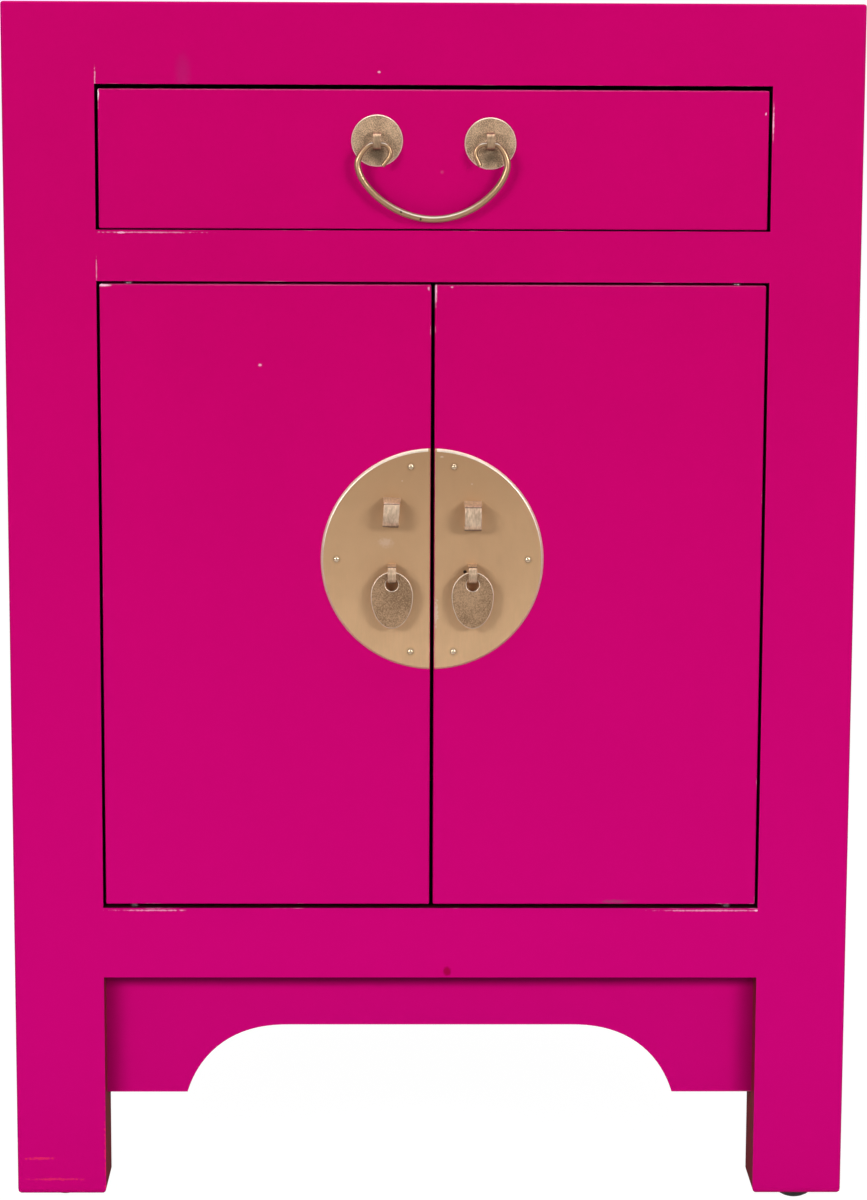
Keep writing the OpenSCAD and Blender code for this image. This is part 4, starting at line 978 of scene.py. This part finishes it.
for k, side_name in SIDES:
    node = "moon_plate_" + side_name
    low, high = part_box(node)
    cut = high.x if k < 0 else low.x
    centre = (0, (low.y + high.y) / 2, (low.z + high.z) / 2)
    rings = [nail_place(k, degrees) for degrees in NAIL_DEGREES]
    # painted shadows round the nail heads
    nail_shadows = [((x, low.y, z), (1.9 * MM,) * 3, 0.5, 0.1, (0.30, 0.16, 0.08, 0.4)) for x, z in rings]
    # height_shade paints shade that darkens the plate towards its top
    paint = brass("plate brass " + side_name, (0.90, 0.59, 0.34, 1), (0.82, 0.53, 0.30, 1), 0.42,
                  (1, 1, 0.10), 1400.0, 0.00002, nail_shadows + PLATE_MARKS[side_name],
                  height_shade=(low.z, high.z, (0.50, 0.29, 0.15, 1)))
    disc("half_moon_" + side_name, node, (high.z - low.z) / 2, high.y - low.y, centre, 1.2 * MM, paint, cut)
    node = "pull_rosette_" + side_name
    low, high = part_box(node)
    centre = ((low.x + high.x) / 2, (low.y + high.y) / 2, (low.z + high.z) / 2 - k * ROSETTE_DROP)
    # painted shadow below the eye
    eye_shadow_spot = ((centre[0], centre[1], centre[2] - 7 * MM), (3.2 * MM,) * 3, 0.8, 0.2, (0.05, 0.03, 0.015, 0.75))
    paint = brass("rosette brass " + side_name, (0.82, 0.57, 0.37, 1), (0.34, 0.22, 0.14, 1), 0.42,
                  scale=2200.0, bump_height=0.00006, spots=[eye_shadow_spot], grain=2.0)
    disc("rosette_" + side_name, node, (high.z - low.z) / 2, high.y - low.y, centre, 0.5 * MM, paint)

# %% [markdown]
# ## Tags
# A tag is an oval leaf of brass, fuller above than below, with a round hole that rides on its
# eye. Two rings of points are bridged into a flat leaf, the leaf is drawn out to its thickness,
# and a fine bevel in bright rim brass, rubbed and with a painted highlight, gives the bright line
# round its rim and hole.

# %% Tags
ABOVE, BELOW = 0.42, 0.58  # shares of a tag's height above and below its widest place
HOLE_DROP, HOLE_R = 6.4 * MM, 3.1 * MM


def tag(name, node, finish):
    low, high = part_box(node)
    centre_x, width, tall = (low.x + high.x) / 2, high.x - low.x, high.z - low.z
    belly_z, hole_z = high.z - tall * ABOVE, high.z - HOLE_DROP
    clear()
    bpy.ops.mesh.primitive_circle_add(
        vertices=96, radius=width / 2, location=(centre_x, high.y, belly_z), rotation=(math.pi / 2, 0, 0))
    piece = bpy.context.active_object
    bpy.ops.object.transform_apply(location=True, rotation=True, scale=True)
    bpy.ops.object.mode_set(mode="EDIT")
    middle = (centre_x, high.y, belly_z)
    for way, share in ((1, tall * ABOVE), (-1, tall * BELOW)):
        pick_points(piece, lambda p, way=way: way * (p.z - belly_z) > 0.001 * MM)
        bpy.ops.transform.resize(value=(1, 1, share / (width / 2)), center_override=middle)
    bpy.ops.mesh.primitive_circle_add(
        vertices=96, radius=HOLE_R, location=(centre_x, high.y, hole_z), rotation=(math.pi / 2, 0, 0))
    bpy.ops.mesh.select_mode(type="EDGE")
    bpy.ops.mesh.select_all(action="SELECT")
    bpy.ops.mesh.bridge_edge_loops()
    bpy.ops.mesh.select_all(action="SELECT")
    bpy.ops.mesh.extrude_region_move(TRANSFORM_OT_translate={"value": (0, low.y - high.y, 0)})
    bpy.ops.object.mode_set(mode="OBJECT")
    rounded(piece, 0.45 * MM, 3, 50)
    piece.data.materials.append(finish)
    give_rim_wear_and_highlight(piece, lambda m, n: -0.97 < n.y < -0.1)
    return settle(piece, node, name, 40)


for k, side_name in SIDES:
    tag("tag_" + side_name, "tag_pull_" + side_name, tag_brass)

# %% [markdown]
# ## Nails
# Six small nails hold the two halves of the plate. A nail shows only its domed head, so each is
# a ball that is pressed flat and cut off at the plate. The three heads of a half are one piece.

# %% Nails
HEAD_R, HEAD_H, SUNK = 1.5 * MM, 0.9 * MM, 0.02 * MM


def nails(name, node, k, finish):
    """Three domed heads on the plate's ring."""
    clear()
    for n, degrees in enumerate(NAIL_DEGREES):
        x, z = nail_place(k, degrees)
        spot = (x, plate_front, z)
        bpy.ops.mesh.primitive_uv_sphere_add(segments=32, ring_count=16, radius=HEAD_R, location=spot)
        head = bpy.context.active_object
        bpy.ops.object.transform_apply(location=True, rotation=True, scale=True)
        bpy.ops.object.mode_set(mode="EDIT")
        bpy.ops.mesh.select_all(action="SELECT")
        bpy.ops.transform.resize(value=(1, HEAD_H / HEAD_R, 1), center_override=spot)
        bpy.ops.mesh.bisect(
            plane_co=(0, plate_front + SUNK, 0), plane_no=(0, 1, 0), clear_outer=True, use_fill=True,
            threshold=0.0000001)
        bpy.ops.object.mode_set(mode="OBJECT")
        if n == 0:
            first = head
        else:
            head.select_set(True)
            first.select_set(True)
            bpy.context.view_layer.objects.active = first
            bpy.ops.object.join()
        clear()
    first.data.materials.append(finish)
    return settle(first, node, name, 50)


# the nail heads darken towards their foot as painted shade
nail_brass = brass("nail brass", (0.97, 0.78, 0.56, 1), (0.84, 0.64, 0.42, 1), 0.10, scale=300.0,
                   bump_height=0.000002, sides=(plate_front - 0.5 * MM, plate_front - 0.15 * MM))
for k, side_name in SIDES:
    nails("nail_heads_" + side_name, "plate_nails_" + side_name, k, nail_brass)
